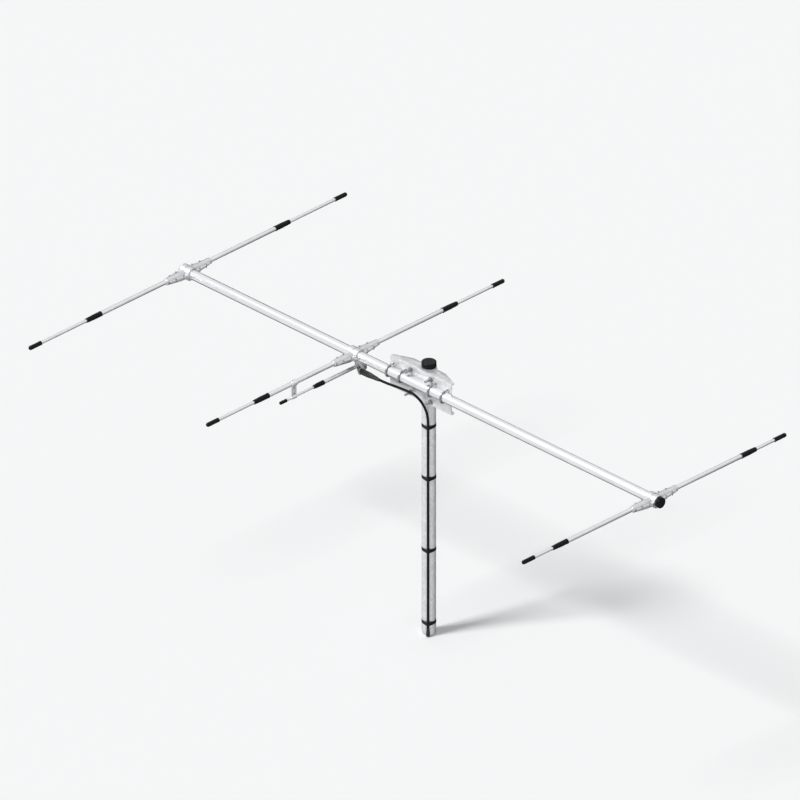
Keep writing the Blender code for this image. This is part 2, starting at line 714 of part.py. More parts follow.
def gamma_sleeve_mesh():
    wide, narrow = GAMMA_TUBE_RADIUS + FIT_GAP, GAMMA_ROD_RADIUS + FIT_GAP
    outer, start, end = GAMMA_SLEEVE_RADIUS, GAMMA_SLEEVE_START, GAMMA_SLEEVE_END
    shoulder, inside = start + GAMMA_SLEEVE_SHOULDER, GAMMA_TUBE_END + FIT_GAP
    before_end, at_end = GAMMA_SLEEVE_END_RADII
    outline = [(outer - SLEEVE_EDGE, start), (outer, start + SLEEVE_EDGE), (outer, shoulder)]
    outline += [(before_end, end - RIM_CHAMFER), (at_end, end), (narrow, end), (narrow, inside)]
    outline += [(wide, inside), (wide, start)]
    return turned("gamma_sleeve", outline)


def gamma_block_mesh():
    high, front = GAMMA_BLOCK_HALF_HEIGHT, CLAMP_HALF_LENGTH
    near, far = GAMMA_BLOCK_Y
    holder = block("gamma_block", (GAMMA_BLOCK_REAR_X, near, -high), (front, far, high))
    bore = moved(rod("hole", GAMMA_TUBE_RADIUS + FIT_GAP, -far - CUT_PAST, far + CUT_PAST), ALONG_MINUS_Y)
    return cut(holder, bore)


def build_gamma(boom_frame):
    """Gamma parts hang under the right half of the driven element, along -Y."""
    place = ELEMENTS["driven"][0]
    element = frame("gamma_element_frame", (place, 0, ELEMENT_RISE), boom_frame)
    gamma = frame("gamma_frame", (0, 0, -GAMMA_DROP), element)
    mesh = tube("gamma_tube", GAMMA_TUBE_START, GAMMA_TUBE_END, GAMMA_TUBE_RADIUS, GAMMA_TUBE_BORE)
    piece("gamma_tube", mesh, "aluminium_tube", gamma, turn=ALONG_MINUS_Y)
    liner = GAMMA_ROD_RADIUS + FIT_GAP
    end = GAMMA_TUBE_END - GAMMA_INSULATOR_INSET
    mesh = tube("gamma_insulator", GAMMA_INSULATOR_START, end, GAMMA_TUBE_BORE - FIT_GAP, liner)
    piece("gamma_insulator", mesh, "white_insulator", gamma, turn=ALONG_MINUS_Y)
    piece("gamma_sleeve", gamma_sleeve_mesh(), "black_vinyl", gamma, turn=ALONG_MINUS_Y)
    piece("gamma_block", gamma_block_mesh(), "white_insulator", gamma)

    mesh = rod("gamma_rod", GAMMA_ROD_RADIUS, GAMMA_ROD_START, GAMMA_ROD_END - GAMMA_CAP_INSET)
    piece("gamma_rod", mesh, "aluminium_tube", gamma, turn=ALONG_MINUS_Y)
    bore, inset = GAMMA_ROD_RADIUS + FIT_GAP, GAMMA_CAP_INSET - FIT_GAP
    mesh = round_cap("gamma_rod_cap", GAMMA_ROD_END, GAMMA_CAP_LENGTH, GAMMA_CAP_RADIUS, bore, inset)
    piece("gamma_rod_cap", mesh, "black_vinyl", gamma, turn=ALONG_MINUS_Y)
    piece("gamma_strap", shorting_strap_mesh(), "aluminium_tube", element, (0, -STRAP_PLACE, 0))


# ---------------------------------------------------------------- boom-to-mast clamp


def mast_plate_mesh():
    """Pressed channel: an upright web and two flanges folded back round the mast."""
    front, back = PLATE_FRONT_Y, PLATE_FRONT_Y + PLATE_THICKNESS
    web = block("web", (-PLATE_HALF_LENGTH, front, PLATE_BOTTOM), (PLATE_HALF_LENGTH, back, PLATE_TOP))
    end_y = front + PLATE_END_DEPTH
    outline = [(-PLATE_HALF_LENGTH, front), (PLATE_HALF_LENGTH, front), (PLATE_HALF_LENGTH, end_y)]
    outline += [(PLATE_SHOULDER_X, PLATE_BACK_Y), (MAST_NOTCH_RADIUS, PLATE_BACK_Y)]
    outline += arc(MAST_NOTCH_RADIUS, 360, 180, 18)
    outline += [(-MAST_NOTCH_RADIUS, PLATE_BACK_Y), (-PLATE_SHOULDER_X, PLATE_BACK_Y)]
    outline += [(-PLATE_HALF_LENGTH, end_y)]
    top = prism("top", outline, PLATE_TOP - PLATE_THICKNESS, PLATE_TOP)
    bottom = prism("bottom", outline, PLATE_BOTTOM, PLATE_BOTTOM + PLATE_THICKNESS)
    plate = union(web, top, bottom)
    holes = []
    for x in U_BOLT_PLACES:
        for side in (-1, 1):
            hole = rod("hole", U_BOLT_ROD + BOLT_CLEARANCE, front - CUT_PAST, back + CUT_PAST, HOLE_SIDES)
            place = Matrix.Translation((x, 0, BOOM_Z + side * U_BOLT_BEND))
            holes.append(moved(hole, ALONG_PLUS_Y, place))
    for x in (-MAST_BOLT_X, MAST_BOLT_X):
        for height in MAST_BOLT_HEIGHTS:
            wide = MAST_BOLT_RADIUS + BOLT_CLEARANCE
            hole = rod("hole", wide, front - CUT_PAST, back + CUT_PAST, BOLT_SIDES)
            holes.append(moved(hole, ALONG_PLUS_Y, Matrix.Translation((x, 0, height))))
    return cut(plate, *holes)


def u_bolt_mesh():
    """Rod bent half round the boom, with a washer and a nut on each leg behind the plate."""
    bend = U_BOLT_BEND
    tail = U_BOLT_TAIL_Y - BOOM_Y
    stations = [(tail, bend, 90)]
    stations += [(*point, angle) for angle, point in zip(range(90, 271, 20), arc(bend, 90, 270, 9))]
    stations += [(tail, -bend, 270)]
    rings = [[(0, tail, bend)]]
    for y, z, angle in stations:
        out_y, out_z = math.cos(math.radians(angle)), math.sin(math.radians(angle))
        rings.append([(x, y + out * out_y, z + out * out_z) for x, out in polar(U_BOLT_ROD, HOLE_SIDES)])
    rings.append([(0, tail, -bend)])
    bolt = loft("u_bolt", rings)
    washer = PLATE_FRONT_Y + PLATE_THICKNESS + FIT_GAP - BOOM_Y
    nut = washer + U_BOLT_WASHER[1]
    for z in (-bend, bend):
        place = Matrix.Translation((0, 0, z))
        flat = moved(rod("washer", U_BOLT_WASHER[0], washer, nut, BOLT_SIDES), ALONG_PLUS_Y, place)
        hexagon = moved(rod("nut", U_BOLT_NUT[0], nut - FIT_GAP, nut + U_BOLT_NUT[1], 6), ALONG_PLUS_Y, place)
        bolt = union(bolt, flat, hexagon)
    return bolt


def mast_strap_mesh():
    """Strap bent half round the back of the mast, with an ear for a bolt at each end."""
    inner, outer = MAST_NOTCH_RADIUS, MAST_NOTCH_RADIUS + MAST_STRAP_THICKNESS
    ear = MAST_BOLT_X + MAST_STRAP_EAR_REACH
    rise = math.degrees(math.asin(MAST_STRAP_EAR_Y / inner))
    fall = math.degrees(math.asin((MAST_STRAP_EAR_Y + MAST_STRAP_THICKNESS) / outer))
    outline = [(ear, MAST_STRAP_EAR_Y)] + arc(inner, rise, 180 - rise, 18) + [(-ear, MAST_STRAP_EAR_Y)]
    back = MAST_STRAP_EAR_Y + MAST_STRAP_THICKNESS
    outline += [(-ear, back)] + arc(outer, 180 - fall, fall, 18) + [(ear, back)]
    strap = prism("mast_strap", outline, -MAST_STRAP_WIDTH / 2, MAST_STRAP_WIDTH / 2)
    holes = []
    for x in (-MAST_BOLT_X, MAST_BOLT_X):
        hole = rod("hole", MAST_BOLT_RADIUS + BOLT_CLEARANCE, 0, back + CUT_PAST, BOLT_SIDES)
        holes.append(moved(hole, ALONG_PLUS_Y, Matrix.Translation((x, 0, 0))))
    return cut(strap, *holes)


def mast_bolt_mesh():
    """Bolt along local Z from its threaded end, with a nut on the plate and its head on the strap."""
    radius, end, corner = MAST_BOLT_RADIUS, MAST_BOLT_FRONT_Y, MAST_NUT_CORNER
    seat = PLATE_FRONT_Y - FIT_GAP
    washer, washer_thickness = MAST_WASHER
    nut = seat - washer_thickness
    top = nut - MAST_NUT_HEIGHT
    ear = MAST_STRAP_EAR_Y + MAST_STRAP_THICKNESS + FIT_GAP
    flat, flat_thickness = MAST_HEAD_WASHER
    head = ear + flat_thickness
    back = head + MAST_HEAD_HEIGHT
    chamfer = MAST_BOLT_CHAMFER
    outline = [(0, end), (radius - chamfer, end), (radius, end + chamfer), (radius, top)]
    outline += [(corner, top, "hex"), (corner, nut, "hex"), (washer, nut), (washer, seat), (radius, seat)]
    outline += [(radius, ear), (flat, ear), (flat, head), (corner, head, "hex"), (corner, back, "hex")]
    outline += [(0, back)]
    return turned("mast_bolt", outline, BOLT_SIDES)


def build_mast_clamp(parent):
    piece("mast_plate", mast_plate_mesh(), "galvanised_steel", parent)
    u_bolt = u_bolt_mesh()
    for number, x in enumerate(U_BOLT_PLACES, start=1):
        piece(f"boom_u_bolt_{number}", u_bolt, "zinc_hardware", parent, (x, BOOM_Y, BOOM_Z))
    strap, bolt = mast_strap_mesh(), mast_bolt_mesh()
    for level, height in zip(("lower", "upper"), MAST_BOLT_HEIGHTS):
        piece(f"mast_strap_{level}", strap, "galvanised_steel", parent, (0, 0, height))
        for end, x in (("rear", -MAST_BOLT_X), ("front", MAST_BOLT_X)):
            name = f"mast_bolt_{level}_{end}"
            piece(name, bolt, "zinc_hardware", parent, (x, 0, height), ALONG_PLUS_Y)


def main():
    for item in list(bpy.data.objects):
        bpy.data.objects.remove(item, do_unlink=True)
    build_mast()
    swivel = frame("azimuth_frame", (0, 0, 0))
    boom_frame = frame("boom_frame", (0, BOOM_Y, BOOM_Z), swivel)
    build_mast_clamp(swivel)
    build_boom(boom_frame)
    build_elements(boom_frame)
    build_gamma(boom_frame)
    build_feed(boom_frame)
    build_coax()


main()
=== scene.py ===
"""Looks of a three-element yagi antenna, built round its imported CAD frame.

Units are metres, in the frame's own axes: +X along the boom to the director, +Y along the elements, +Z up
the mast. Every piece takes its place and outer size from the CAD node that it stands for.
"""

import math

import bmesh
import bpy
from mathutils import Matrix, Vector
from mathutils.geometry import interpolate_bezier


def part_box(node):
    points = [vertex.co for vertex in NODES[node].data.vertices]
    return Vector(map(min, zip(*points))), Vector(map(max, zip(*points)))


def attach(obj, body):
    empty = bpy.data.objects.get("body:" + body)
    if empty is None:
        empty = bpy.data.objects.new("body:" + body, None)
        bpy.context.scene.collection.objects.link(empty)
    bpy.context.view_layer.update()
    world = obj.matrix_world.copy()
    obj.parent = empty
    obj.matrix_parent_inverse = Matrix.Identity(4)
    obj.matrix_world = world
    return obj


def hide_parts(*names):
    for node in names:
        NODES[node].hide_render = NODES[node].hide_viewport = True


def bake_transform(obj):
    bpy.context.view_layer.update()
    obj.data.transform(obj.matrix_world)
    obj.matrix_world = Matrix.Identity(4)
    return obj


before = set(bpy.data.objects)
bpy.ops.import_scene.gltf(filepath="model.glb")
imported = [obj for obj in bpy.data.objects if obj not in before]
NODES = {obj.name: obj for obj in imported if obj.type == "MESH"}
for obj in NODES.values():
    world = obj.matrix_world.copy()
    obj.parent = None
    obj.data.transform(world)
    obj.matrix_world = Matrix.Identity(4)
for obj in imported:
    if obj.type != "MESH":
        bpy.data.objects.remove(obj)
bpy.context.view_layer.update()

# Camera: orthographic, to the right of the boom's front half and above it
CAMERA_AZIMUTH = 45.0
CAMERA_ELEVATION = 29.2
CAMERA_SPAN = 3.908
CAMERA_OFFSET = (-0.1412, 1.1333)
CAMERA_DISTANCE = 9.0
CAMERA_SEES_TO = 40.0

# Light: a soft key from high on the camera's left, and a tent whose brightness is TENT_STRENGTH on plain
# surfaces and TENT_IN_METAL in reflections
KEY_FROM = (-0.24, -0.56, 0.79)
KEY_STRENGTH = 2.3
KEY_SOFTNESS = 14.0
TENT_COLOUR = (0.97, 0.985, 1.0, 1.0)
TENT_STRENGTH = 0.40
TENT_IN_METAL = 0.86
TENT_FLOOR = 0.015
DIAGONAL = 0.7071
PAPER_COLOUR = (0.97, 0.97, 0.97, 1.0)
FLOOR_REACH = 40.0
FLOOR_DROP = 0.0015

ELEMENTS = ("reflector", "driven", "director")
SIDES = (("left", 1), ("right", -1))
SHARP_ANGLE = math.radians(32)
BEVEL_ANGLE = math.radians(40)
WELD_DISTANCE = 0.00002

# Gaps and walls, as in the CAD
FIT_GAP = 0.0003
MAST_WALL = 0.004
BOOM_WALL = 0.003
BASE_TUBE_WALL = 0.0028
TIP_TUBE_WALL = 0.00165
GAMMA_TUBE_WALL = 0.0016
PLUG_WALL = 0.003
PLUG_CLEARANCE = 0.0006
PLATE_THICKNESS = 0.004

# Fasteners: a clamp's bolts lie at these distances from its middle, along the boom and along the element,
# and each is turned by BOLT_TURN radians from the one before
CLAMP_BOLT_PLACES = ((0.0270, 0.056), (0.0225, 0.104))
CLAMP_FLANGE_FACE = 0.0041
CLAMP_BOLT_RADIUS = 0.0026
BOLT_TURN = 0.7
U_BOLT_RADIUS = 0.0042
MAST_BOLT_RADIUS = 0.0060
MAST_HEAD_AND_WASHER = 0.0095
SOCKET_SCREW_REACH = 0.0092
SOCKET_FLANGE_FACE = 0.0033

# Coax plug and boot: radii beyond which they are grooved, and where the boot starts
PLUG_SKIN = 0.008
BOOT_SKIN = 0.0100
BOOT_RADIUS = 0.0158
BOOT_START = 0.0040

# Flat web of the gamma strap, between the rings round the element and the rod
WEB_BELOW_ELEMENT = 0.0140
WEB_ABOVE_ROD = 0.0085
WEB_SCREW_INSET = 0.010
WEB_HALF_THICKNESS = 0.003

TO_X = Matrix.Rotation(math.pi / 2, 4, "Y")
TO_MINUS_X = Matrix.Rotation(-math.pi / 2, 4, "Y")
TO_Y = Matrix.Rotation(-math.pi / 2, 4, "X")
TO_MINUS_Y = Matrix.Rotation(math.pi / 2, 4, "X")
UPRIGHT = Matrix.Identity(4)


def placed(name, data):
    """New object in the scene."""
    item = bpy.data.objects.new(name, data)
    bpy.context.scene.collection.objects.link(item)
    return item


def add_node(tree, kind, sockets, **settings):
    """New shader node, with each socket set to a value or linked to another node's output."""
    made = tree.nodes.new(kind)
    for key, value in settings.items():
        setattr(made, key, value)
    for key, value in sockets.items():
        if isinstance(value, bpy.types.NodeSocket):
            tree.links.new(value, made.inputs[key])
        else:
            made.inputs[key].default_value = value
    return made


def maths(tree, operation, first, second):
    """Output of a maths node on two values."""
    return add_node(tree, "ShaderNodeMath", {0: first, 1: second}, operation=operation).outputs["Value"]


# ---- camera, light and floor


def make_camera():
    azimuth, elevation = math.radians(CAMERA_AZIMUTH), math.radians(CAMERA_ELEVATION)
    right = Vector((math.cos(azimuth), math.sin(azimuth), 0))
    flat_back = Vector((math.sin(azimuth), -math.cos(azimuth), 0))
    back = flat_back * math.cos(elevation) + Vector((0, 0, math.sin(elevation)))
    up = back.cross(right)
    data = bpy.data.cameras.new("camera")
    data.type = "ORTHO"
    data.ortho_scale = CAMERA_SPAN
    data.clip_end = CAMERA_SEES_TO
    camera = placed("camera", data)
    camera.rotation_mode = "QUATERNION"
    camera.rotation_quaternion = (-back).to_track_quat("-Z", "Y")
    camera.location = right * CAMERA_OFFSET[0] + up * CAMERA_OFFSET[1] + back * CAMERA_DISTANCE
    bpy.context.scene.camera = camera


def make_sun():
    data = bpy.data.lights.new("key", "SUN")
    data.energy = KEY_STRENGTH
    data.angle = math.radians(KEY_SOFTNESS)
    lamp = placed("key", data)
    lamp.rotation_mode = "QUATERNION"
    lamp.rotation_quaternion = Vector(KEY_FROM).to_track_quat("Z", "Y")


def make_surround():
    """Soft tent of light: an overhead glow and three panels, and dark gaps that draw the edges of metal."""
    world = bpy.data.worlds.new("studio")
    bpy.context.scene.world = world
    world.use_nodes = True
    tree = world.node_tree

    def along(direction, low, high, top):
        """Rises from 0 to top as the ray turns towards a direction."""
        sockets = {0: add_node(tree, "ShaderNodeTexCoord", {}).outputs["Generated"], 1: direction}
        turned_to = add_node(tree, "ShaderNodeVectorMath", sockets, operation="DOT_PRODUCT").outputs["Value"]
        sockets = {"Value": turned_to, "From Min": low, "From Max": high, "To Min": 0.0, "To Max": top}
        ramp = add_node(tree, "ShaderNodeMapRange", sockets, interpolation_type="SMOOTHSTEP")
        return ramp.outputs["Result"]

    glow = along((0, 0, 1), -0.05, 0.42, 1.0)
    for panel in (
        along((-DIAGONAL, -DIAGONAL, 0), 0.30, 0.75, 1.0),
        along((DIAGONAL, -DIAGONAL, 0), 0.00, 0.45, 0.95),
        along((1, 0, 0), 0.25, 0.65, 0.55),
    ):
        glow = maths(tree, "MAXIMUM", glow, panel)
    ray = add_node(tree, "ShaderNodeLightPath", {}).outputs
    more = maths(tree, "MULTIPLY", ray["Is Glossy Ray"], TENT_IN_METAL - TENT_STRENGTH)
    glow = maths(tree, "MULTIPLY", glow, maths(tree, "ADD", more, TENT_STRENGTH))
    tent = tree.nodes["Background"]
    tent.inputs["Color"].default_value = TENT_COLOUR
    tree.links.new(maths(tree, "ADD", glow, TENT_FLOOR), tent.inputs["Strength"])
    paper = add_node(tree, "ShaderNodeBackground", {"Color": PAPER_COLOUR})
    sockets = {"Fac": ray["Is Camera Ray"], 1: tent.outputs["Background"], 2: paper.outputs["Background"]}
    choice = add_node(tree, "ShaderNodeMixShader", sockets)
    tree.links.new(choice.outputs["Shader"], tree.nodes["World Output"].inputs["Surface"])
    bpy.context.scene.view_settings.view_transform = "Standard"


def make_floor():
    mesh = bpy.data.meshes.new("floor")
    corners = ((-1, -1), (1, -1), (1, 1), (-1, 1))
    points = [(x * FLOOR_REACH, y * FLOOR_REACH, -FLOOR_DROP) for x, y in corners]
    mesh.from_pydata(points, [], [(0, 1, 2, 3)])
    floor = placed("floor", mesh)
    floor.visible_glossy = False
    look = Look("floor_paper", (0.93, 0.93, 0.93), 0.9, 0.0, 0.0)
    look.colour(look.noise(60, 4), (0.93, 0.93, 0.93), (0.95, 0.95, 0.95))
    mesh.materials.append(look.material)


# ---- materials


class Look:
    """Principled material with colour, roughness and bump from noise in the object's own coordinates."""

    def __init__(self, name, colour, roughness, metallic, specular=0.5):
        self.material = bpy.data.materials.new(name)
        self.material.use_nodes = True
        self.tree = self.material.node_tree
        self.shader = self.tree.nodes["Principled BSDF"]
        keys = ("Base Color", "Roughness", "Metallic", "Specular IOR Level")
        for key, value in zip(keys, ((*colour, 1.0), roughness, metallic, specular)):
            self.shader.inputs[key].default_value = value
        self.place = self.node("ShaderNodeTexCoord", {}).outputs["Object"]
        self.normal = None

    def node(self, kind, sockets, **settings):
        return add_node(self.tree, kind, sockets, **settings)

    def stretched(self, stretch):
        return self.node("ShaderNodeMapping", {"Vector": self.place, "Scale": stretch}).outputs["Vector"]

    def noise(self, scale, detail, stretch=None):
        vector = self.stretched(stretch) if stretch else self.place
        sockets = {"Vector": vector, "Scale": scale, "Detail": detail, "Roughness": 0.55}
        return self.node("ShaderNodeTexNoise", sockets).outputs["Fac"]

    def ranged(self, value, low, high, to_low=0.0, to_high=1.0):
        sockets = {"Value": value, "From Min": low, "From Max": high, "To Min": to_low, "To Max": to_high}
        return self.node("ShaderNodeMapRange", sockets).outputs["Result"]

    def times(self, first, second):
        return maths(self.tree, "MULTIPLY", first, second)

    def plus(self, first, second):
        return maths(self.tree, "ADD", first, second)

    def mixed(self, share, first, second):
        """Colour between two colours, either of which may be another node's output."""
        sockets = {"Factor": share, 6: first, 7: second}
        for key in (6, 7):
            if isinstance(sockets[key], tuple):
                sockets[key] = (*sockets[key], 1.0)
        return self.node("ShaderNodeMix", sockets, data_type="RGBA").outputs[2]

    def colour(self, share, first, second):
        self.tree.links.new(self.mixed(share, first, second), self.shader.inputs["Base Color"])

    def rough_from(self, value):
        self.tree.links.new(value, self.shader.inputs["Roughness"])

    def rough(self, noise, low, high):
        """Roughness from low to high over the middle of a noise."""
        self.rough_from(self.ranged(noise, 0.3, 0.7, low, high))

    def bump(self, height, strength, distance):
        sockets = {"Height": height, "Strength": strength, "Distance": distance}
        if self.normal is not None:
            sockets["Normal"] = self.normal
        self.normal = self.node("ShaderNodeBump", sockets).outputs["Normal"]
        self.tree.links.new(self.normal, self.shader.inputs["Normal"])

    def edges(self, low, high):
        """Rises from 0 to 1 onto the mesh's edges, or into its hollows where high is under low."""
        return self.ranged(self.node("ShaderNodeNewGeometry", {}).outputs["Pointiness"], low, high)


def drawn_aluminium(name, stretch):
    """Drawn or rolled metal: fine lines, dull oxide patches and a few water marks."""
    look = Look(name, (0.92, 0.925, 0.93), 0.28, 1.0)
    lines = look.noise(1.0, 6, stretch)
    oxide = look.noise(9.0, 6)
    spots = look.ranged(look.noise(150, 2), 0.62, 0.74)
    base = look.mixed(look.ranged(oxide, 0.38, 0.66), (0.955, 0.958, 0.96), (0.85, 0.86, 0.87))
    base = look.mixed(look.times(look.ranged(lines, 0.45, 0.75), 0.30), base, (0.78, 0.79, 0.80))
    look.colour(look.times(spots, 0.30), base, (0.72, 0.72, 0.71))
    rough = look.plus(look.ranged(oxide, 0.35, 0.70, 0.22, 0.38), look.ranged(lines, 0.3, 0.7, -0.03, 0.05))
    look.rough_from(look.plus(rough, look.times(spots, 0.10)))
    look.bump(lines, 0.25, 0.0002)
    return look.material


def cast_aluminium():
    """Sand-cast metal: grainy skin, darker hollows and bright rubbed edges."""
    look = Look("cast_aluminium", (0.80, 0.81, 0.82), 0.42, 1.0)
    grain = look.noise(700, 4)
    cloud = look.noise(28, 5)
    rubbed = look.edges(0.505, 0.56)
    base = look.mixed(look.ranged(cloud, 0.35, 0.70), (0.82, 0.825, 0.83), (0.68, 0.69, 0.70))
    base = look.mixed(look.times(look.ranged(grain, 0.52, 0.75), 0.5), base, (0.52, 0.53, 0.54))
    base = look.mixed(look.edges(0.495, 0.455), base, (0.36, 0.36, 0.37))
    look.colour(rubbed, base, (0.95, 0.95, 0.96))
    look.rough(cloud, 0.34, 0.50)
    look.bump(grain, 0.35, 0.0004)
    look.bump(cloud, 0.20, 0.0010)
    return look.material


def galvanised_steel():
    """Hot-dip zinc: overlapping crystals with their own tone and gloss, and chalky bloom."""
    look = Look("galvanised_steel", (0.80, 0.81, 0.82), 0.42, 0.50)
    warp = look.noise(40, 3)
    cells = look.node("ShaderNodeTexVoronoi", {"Vector": look.stretched((1.0, 1.0, 0.8)), "Scale": 85})
    tone = look.node("ShaderNodeSeparateColor", {"Color": cells.outputs["Color"]}).outputs["Red"]
    bloom = look.ranged(look.noise(7, 6), 0.48, 0.75)
    base = look.mixed(look.ranged(tone, 0.0, 1.0), (0.68, 0.69, 0.70), (0.84, 0.845, 0.85))
    look.colour(look.times(bloom, 0.55), base, (0.68, 0.69, 0.695))
    rough = look.ranged(tone, 0.0, 1.0, 0.32, 0.46)
    look.rough_from(look.plus(rough, look.times(bloom, 0.14)))
    look.bump(tone, 0.10, 0.0003)
    look.bump(warp, 0.18, 0.0010)
    return look.material


def zinc_hardware():
    """Plated fasteners: a cloudy film and fine dark specks."""
    look = Look("zinc_hardware", (0.70, 0.71, 0.72), 0.32, 1.0)
    film = look.noise(90, 5)
    fine = look.noise(900, 2)
    base = look.mixed(look.ranged(film, 0.35, 0.70), (0.46, 0.46, 0.48), (0.30, 0.30, 0.30))
    look.colour(look.ranged(fine, 0.62, 0.80), base, (0.22, 0.21, 0.20))
    look.rough(film, 0.26, 0.42)
    look.bump(fine, 0.12, 0.0002)
    return look.material


def dipped_vinyl():
    """Black vinyl of caps and sleeves: slight orange peel and a trace of dust."""
    look = Look("black_vinyl", (0.006, 0.006, 0.007), 0.34, 0.0, 0.14)
    peel = look.noise(420, 3)
    dust = look.ranged(look.noise(30, 6), 0.52, 0.80)
    look.colour(look.times(dust, 0.25), (0.005, 0.005, 0.006), (0.028, 0.027, 0.026))
    look.rough_from(look.plus(look.ranged(peel, 0.3, 0.7, 0.28, 0.36), look.times(dust, 0.16)))
    look.bump(peel, 0.10, 0.0003)
    return look.material


def moulded_rubber():
    look = Look("black_rubber", (0.008, 0.008, 0.008), 0.45, 0.0, 0.45)
    grain = look.noise(1300, 3)
    cloud = look.noise(45, 4)
    look.colour(look.ranged(cloud, 0.4, 0.75), (0.007, 0.007, 0.007), (0.022, 0.021, 0.020))
    look.rough(cloud, 0.26, 0.38)
    look.bump(grain, 0.25, 0.0002)
    return look.material


def cable_jacket():
    look = Look("black_jacket", (0.006, 0.006, 0.006), 0.38, 0.0, 0.14)
    lay = look.noise(260, 2)
    scuff = look.ranged(look.noise(70, 5), 0.60, 0.78)
    look.colour(look.times(scuff, 0.6), (0.005, 0.005, 0.006), (0.030, 0.029, 0.028))
    look.rough(lay, 0.32, 0.46)
    look.bump(lay, 0.15, 0.0003)
    return look.material


def wound_tape():
    """Vinyl tape, with fine stretch lines round the mast."""
    look = Look("black_tape", (0.006, 0.006, 0.007), 0.30, 0.0, 0.14)
    lines = look.noise(30, 4, (1.0, 1.0, 22.0))
    look.colour(look.ranged(lines, 0.45, 0.75), (0.005, 0.005, 0.006), (0.020, 0.020, 0.021))
    look.rough(lines, 0.26, 0.40)
    look.bump(lines, 0.22, 0.0004)
    return look.material


def plated_brass():
    look = Look("nickel_brass", (0.74, 0.71, 0.64), 0.22, 1.0)
    film = look.noise(120, 5)
    look.colour(look.ranged(film, 0.45, 0.78), (0.78, 0.75, 0.68), (0.60, 0.54, 0.42))
    look.rough(film, 0.18, 0.32)
    return look.material


def natural_nylon():
    look = Look("white_insulator", (0.86, 0.85, 0.80), 0.42, 0.0)
    look.shader.inputs["Subsurface Weight"].default_value = 0.15
    look.shader.inputs["Subsurface Scale"].default_value = 0.004
    cloud = look.noise(55, 4)
    look.colour(look.ranged(cloud, 0.35, 0.75), (0.88, 0.87, 0.83), (0.78, 0.76, 0.69))
    look.rough(cloud, 0.36, 0.50)
    look.bump(look.noise(500, 2), 0.08, 0.0003)
    return look.material


def make_looks():
    return {
        "tube": drawn_aluminium("aluminium_tube", (700.0, 700.0, 14.0)),
        "sheet": drawn_aluminium("aluminium_sheet", (700.0, 14.0, 700.0)),
        "cast": cast_aluminium(),
        "galvanised": galvanised_steel(),
        "zinc": zinc_hardware(),
        "vinyl": dipped_vinyl(),
        "rubber": moulded_rubber(),
        "jacket": cable_jacket(),
        "tape": wound_tape(),
        "brass": plated_brass(),
        "nylon": natural_nylon(),
    }


# ---- mesh helpers


def mesh_from(name, solid):
    bmesh.ops.recalc_face_normals(solid, faces=solid.faces)
    mesh = bpy.data.meshes.new(name)
    solid.to_mesh(mesh)
    solid.free()
    mesh.shade_smooth()
    mesh.set_sharp_from_angle(angle=SHARP_ANGLE)
    return mesh


def show(name, mesh, look, body, stands_for=(), matrix=UPRIGHT):
    """New piece in the frame's axes, with its look, riding on its body and standing for CAD nodes."""
    item = placed(name, mesh)
    if not mesh.materials:
        mesh.materials.append(LOOKS[look])
    item.matrix_world = matrix
    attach(item, body)
    if stands_for:
        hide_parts(*stands_for)


def eased(outline, steps=3):
    """Closed outline of (radius, height, ease): each corner with an ease is rounded by that much."""
    points = []
    for index, (radius, height, *ease) in enumerate(outline):
        corner = Vector((radius, height))
        if not ease:
            points.append(corner)
            continue
        before = Vector(outline[index - 1][:2]) - corner
        after = Vector(outline[(index + 1) % len(outline)][:2]) - corner
        first = corner + before.normalized() * min(ease[0], before.length * 0.49)
        last = corner + after.normalized() * min(ease[0], after.length * 0.49)
        for step in range(steps + 1):
            share = step / steps
            points.append(first.lerp(corner, share).lerp(corner.lerp(last, share), share))
    return [(point.x, point.y) for point in points]


def ring_solid(solid, rings):
    """Adds a closed skin through a loop of rings; a ring of one point is a pole."""
    loops = [[solid.verts.new(point) for point in ring] for ring in rings]
    for lower, upper in zip(loops, loops[1:] + loops[:1]):
        count = max(len(lower), len(upper))
        if count == 1:
            continue
        for step in range(count):
            after = (step + 1) % count
            corners = [lower[step % len(lower)], lower[after % len(lower)]]
            corners += [upper[after % len(upper)], upper[step % len(upper)]]
            solid.faces.new(list(dict.fromkeys(corners)))


def turned_rings(outline, sides, shape=None):
    """Rings of an outline turned about local Z; shape(radius, height, angle) may change a point's radius."""
    rings = []
    for radius, height in outline:
        if radius < 1e-7:
            rings.append([(0, 0, height)])
            continue
        ring = []
        for step in range(sides):
            angle = math.tau * step / sides
            reach = shape(radius, height, angle) if shape else radius
            ring.append((reach * math.cos(angle), reach * math.sin(angle), height))
        rings.append(ring)
    return rings


def show_turned(name, outline, sides, look, body, node, matrix=UPRIGHT, shape=None):
    """New piece with its outline turned about local Z, standing for one CAD node."""
    solid = bmesh.new()
    ring_solid(solid, turned_rings(eased(outline), sides, shape))
    show(name, mesh_from(name, solid), look, body, [node], matrix)


def show_pipe(name, length, radius, wall, sides, look, body, node, matrix=UPRIGHT):
    """Tube along local Z with its four rims eased."""
    bore = radius - wall
    ease = min(0.0008, wall * 0.3)
    outline = [(radius, 0, ease), (radius, length, ease), (bore, length, ease), (bore, 0, ease)]
    show_turned(name, outline, sides, look, body, node, matrix)


def hex_limit(corner):
    """Turned shape cut to a hexagon, given the distance of its corners from the axis."""

    def reach(radius, height, angle):
        from_flat = angle % (math.pi / 3) - math.pi / 6
        return min(radius, corner * math.cos(math.pi / 6) / math.cos(from_flat))

    return reach


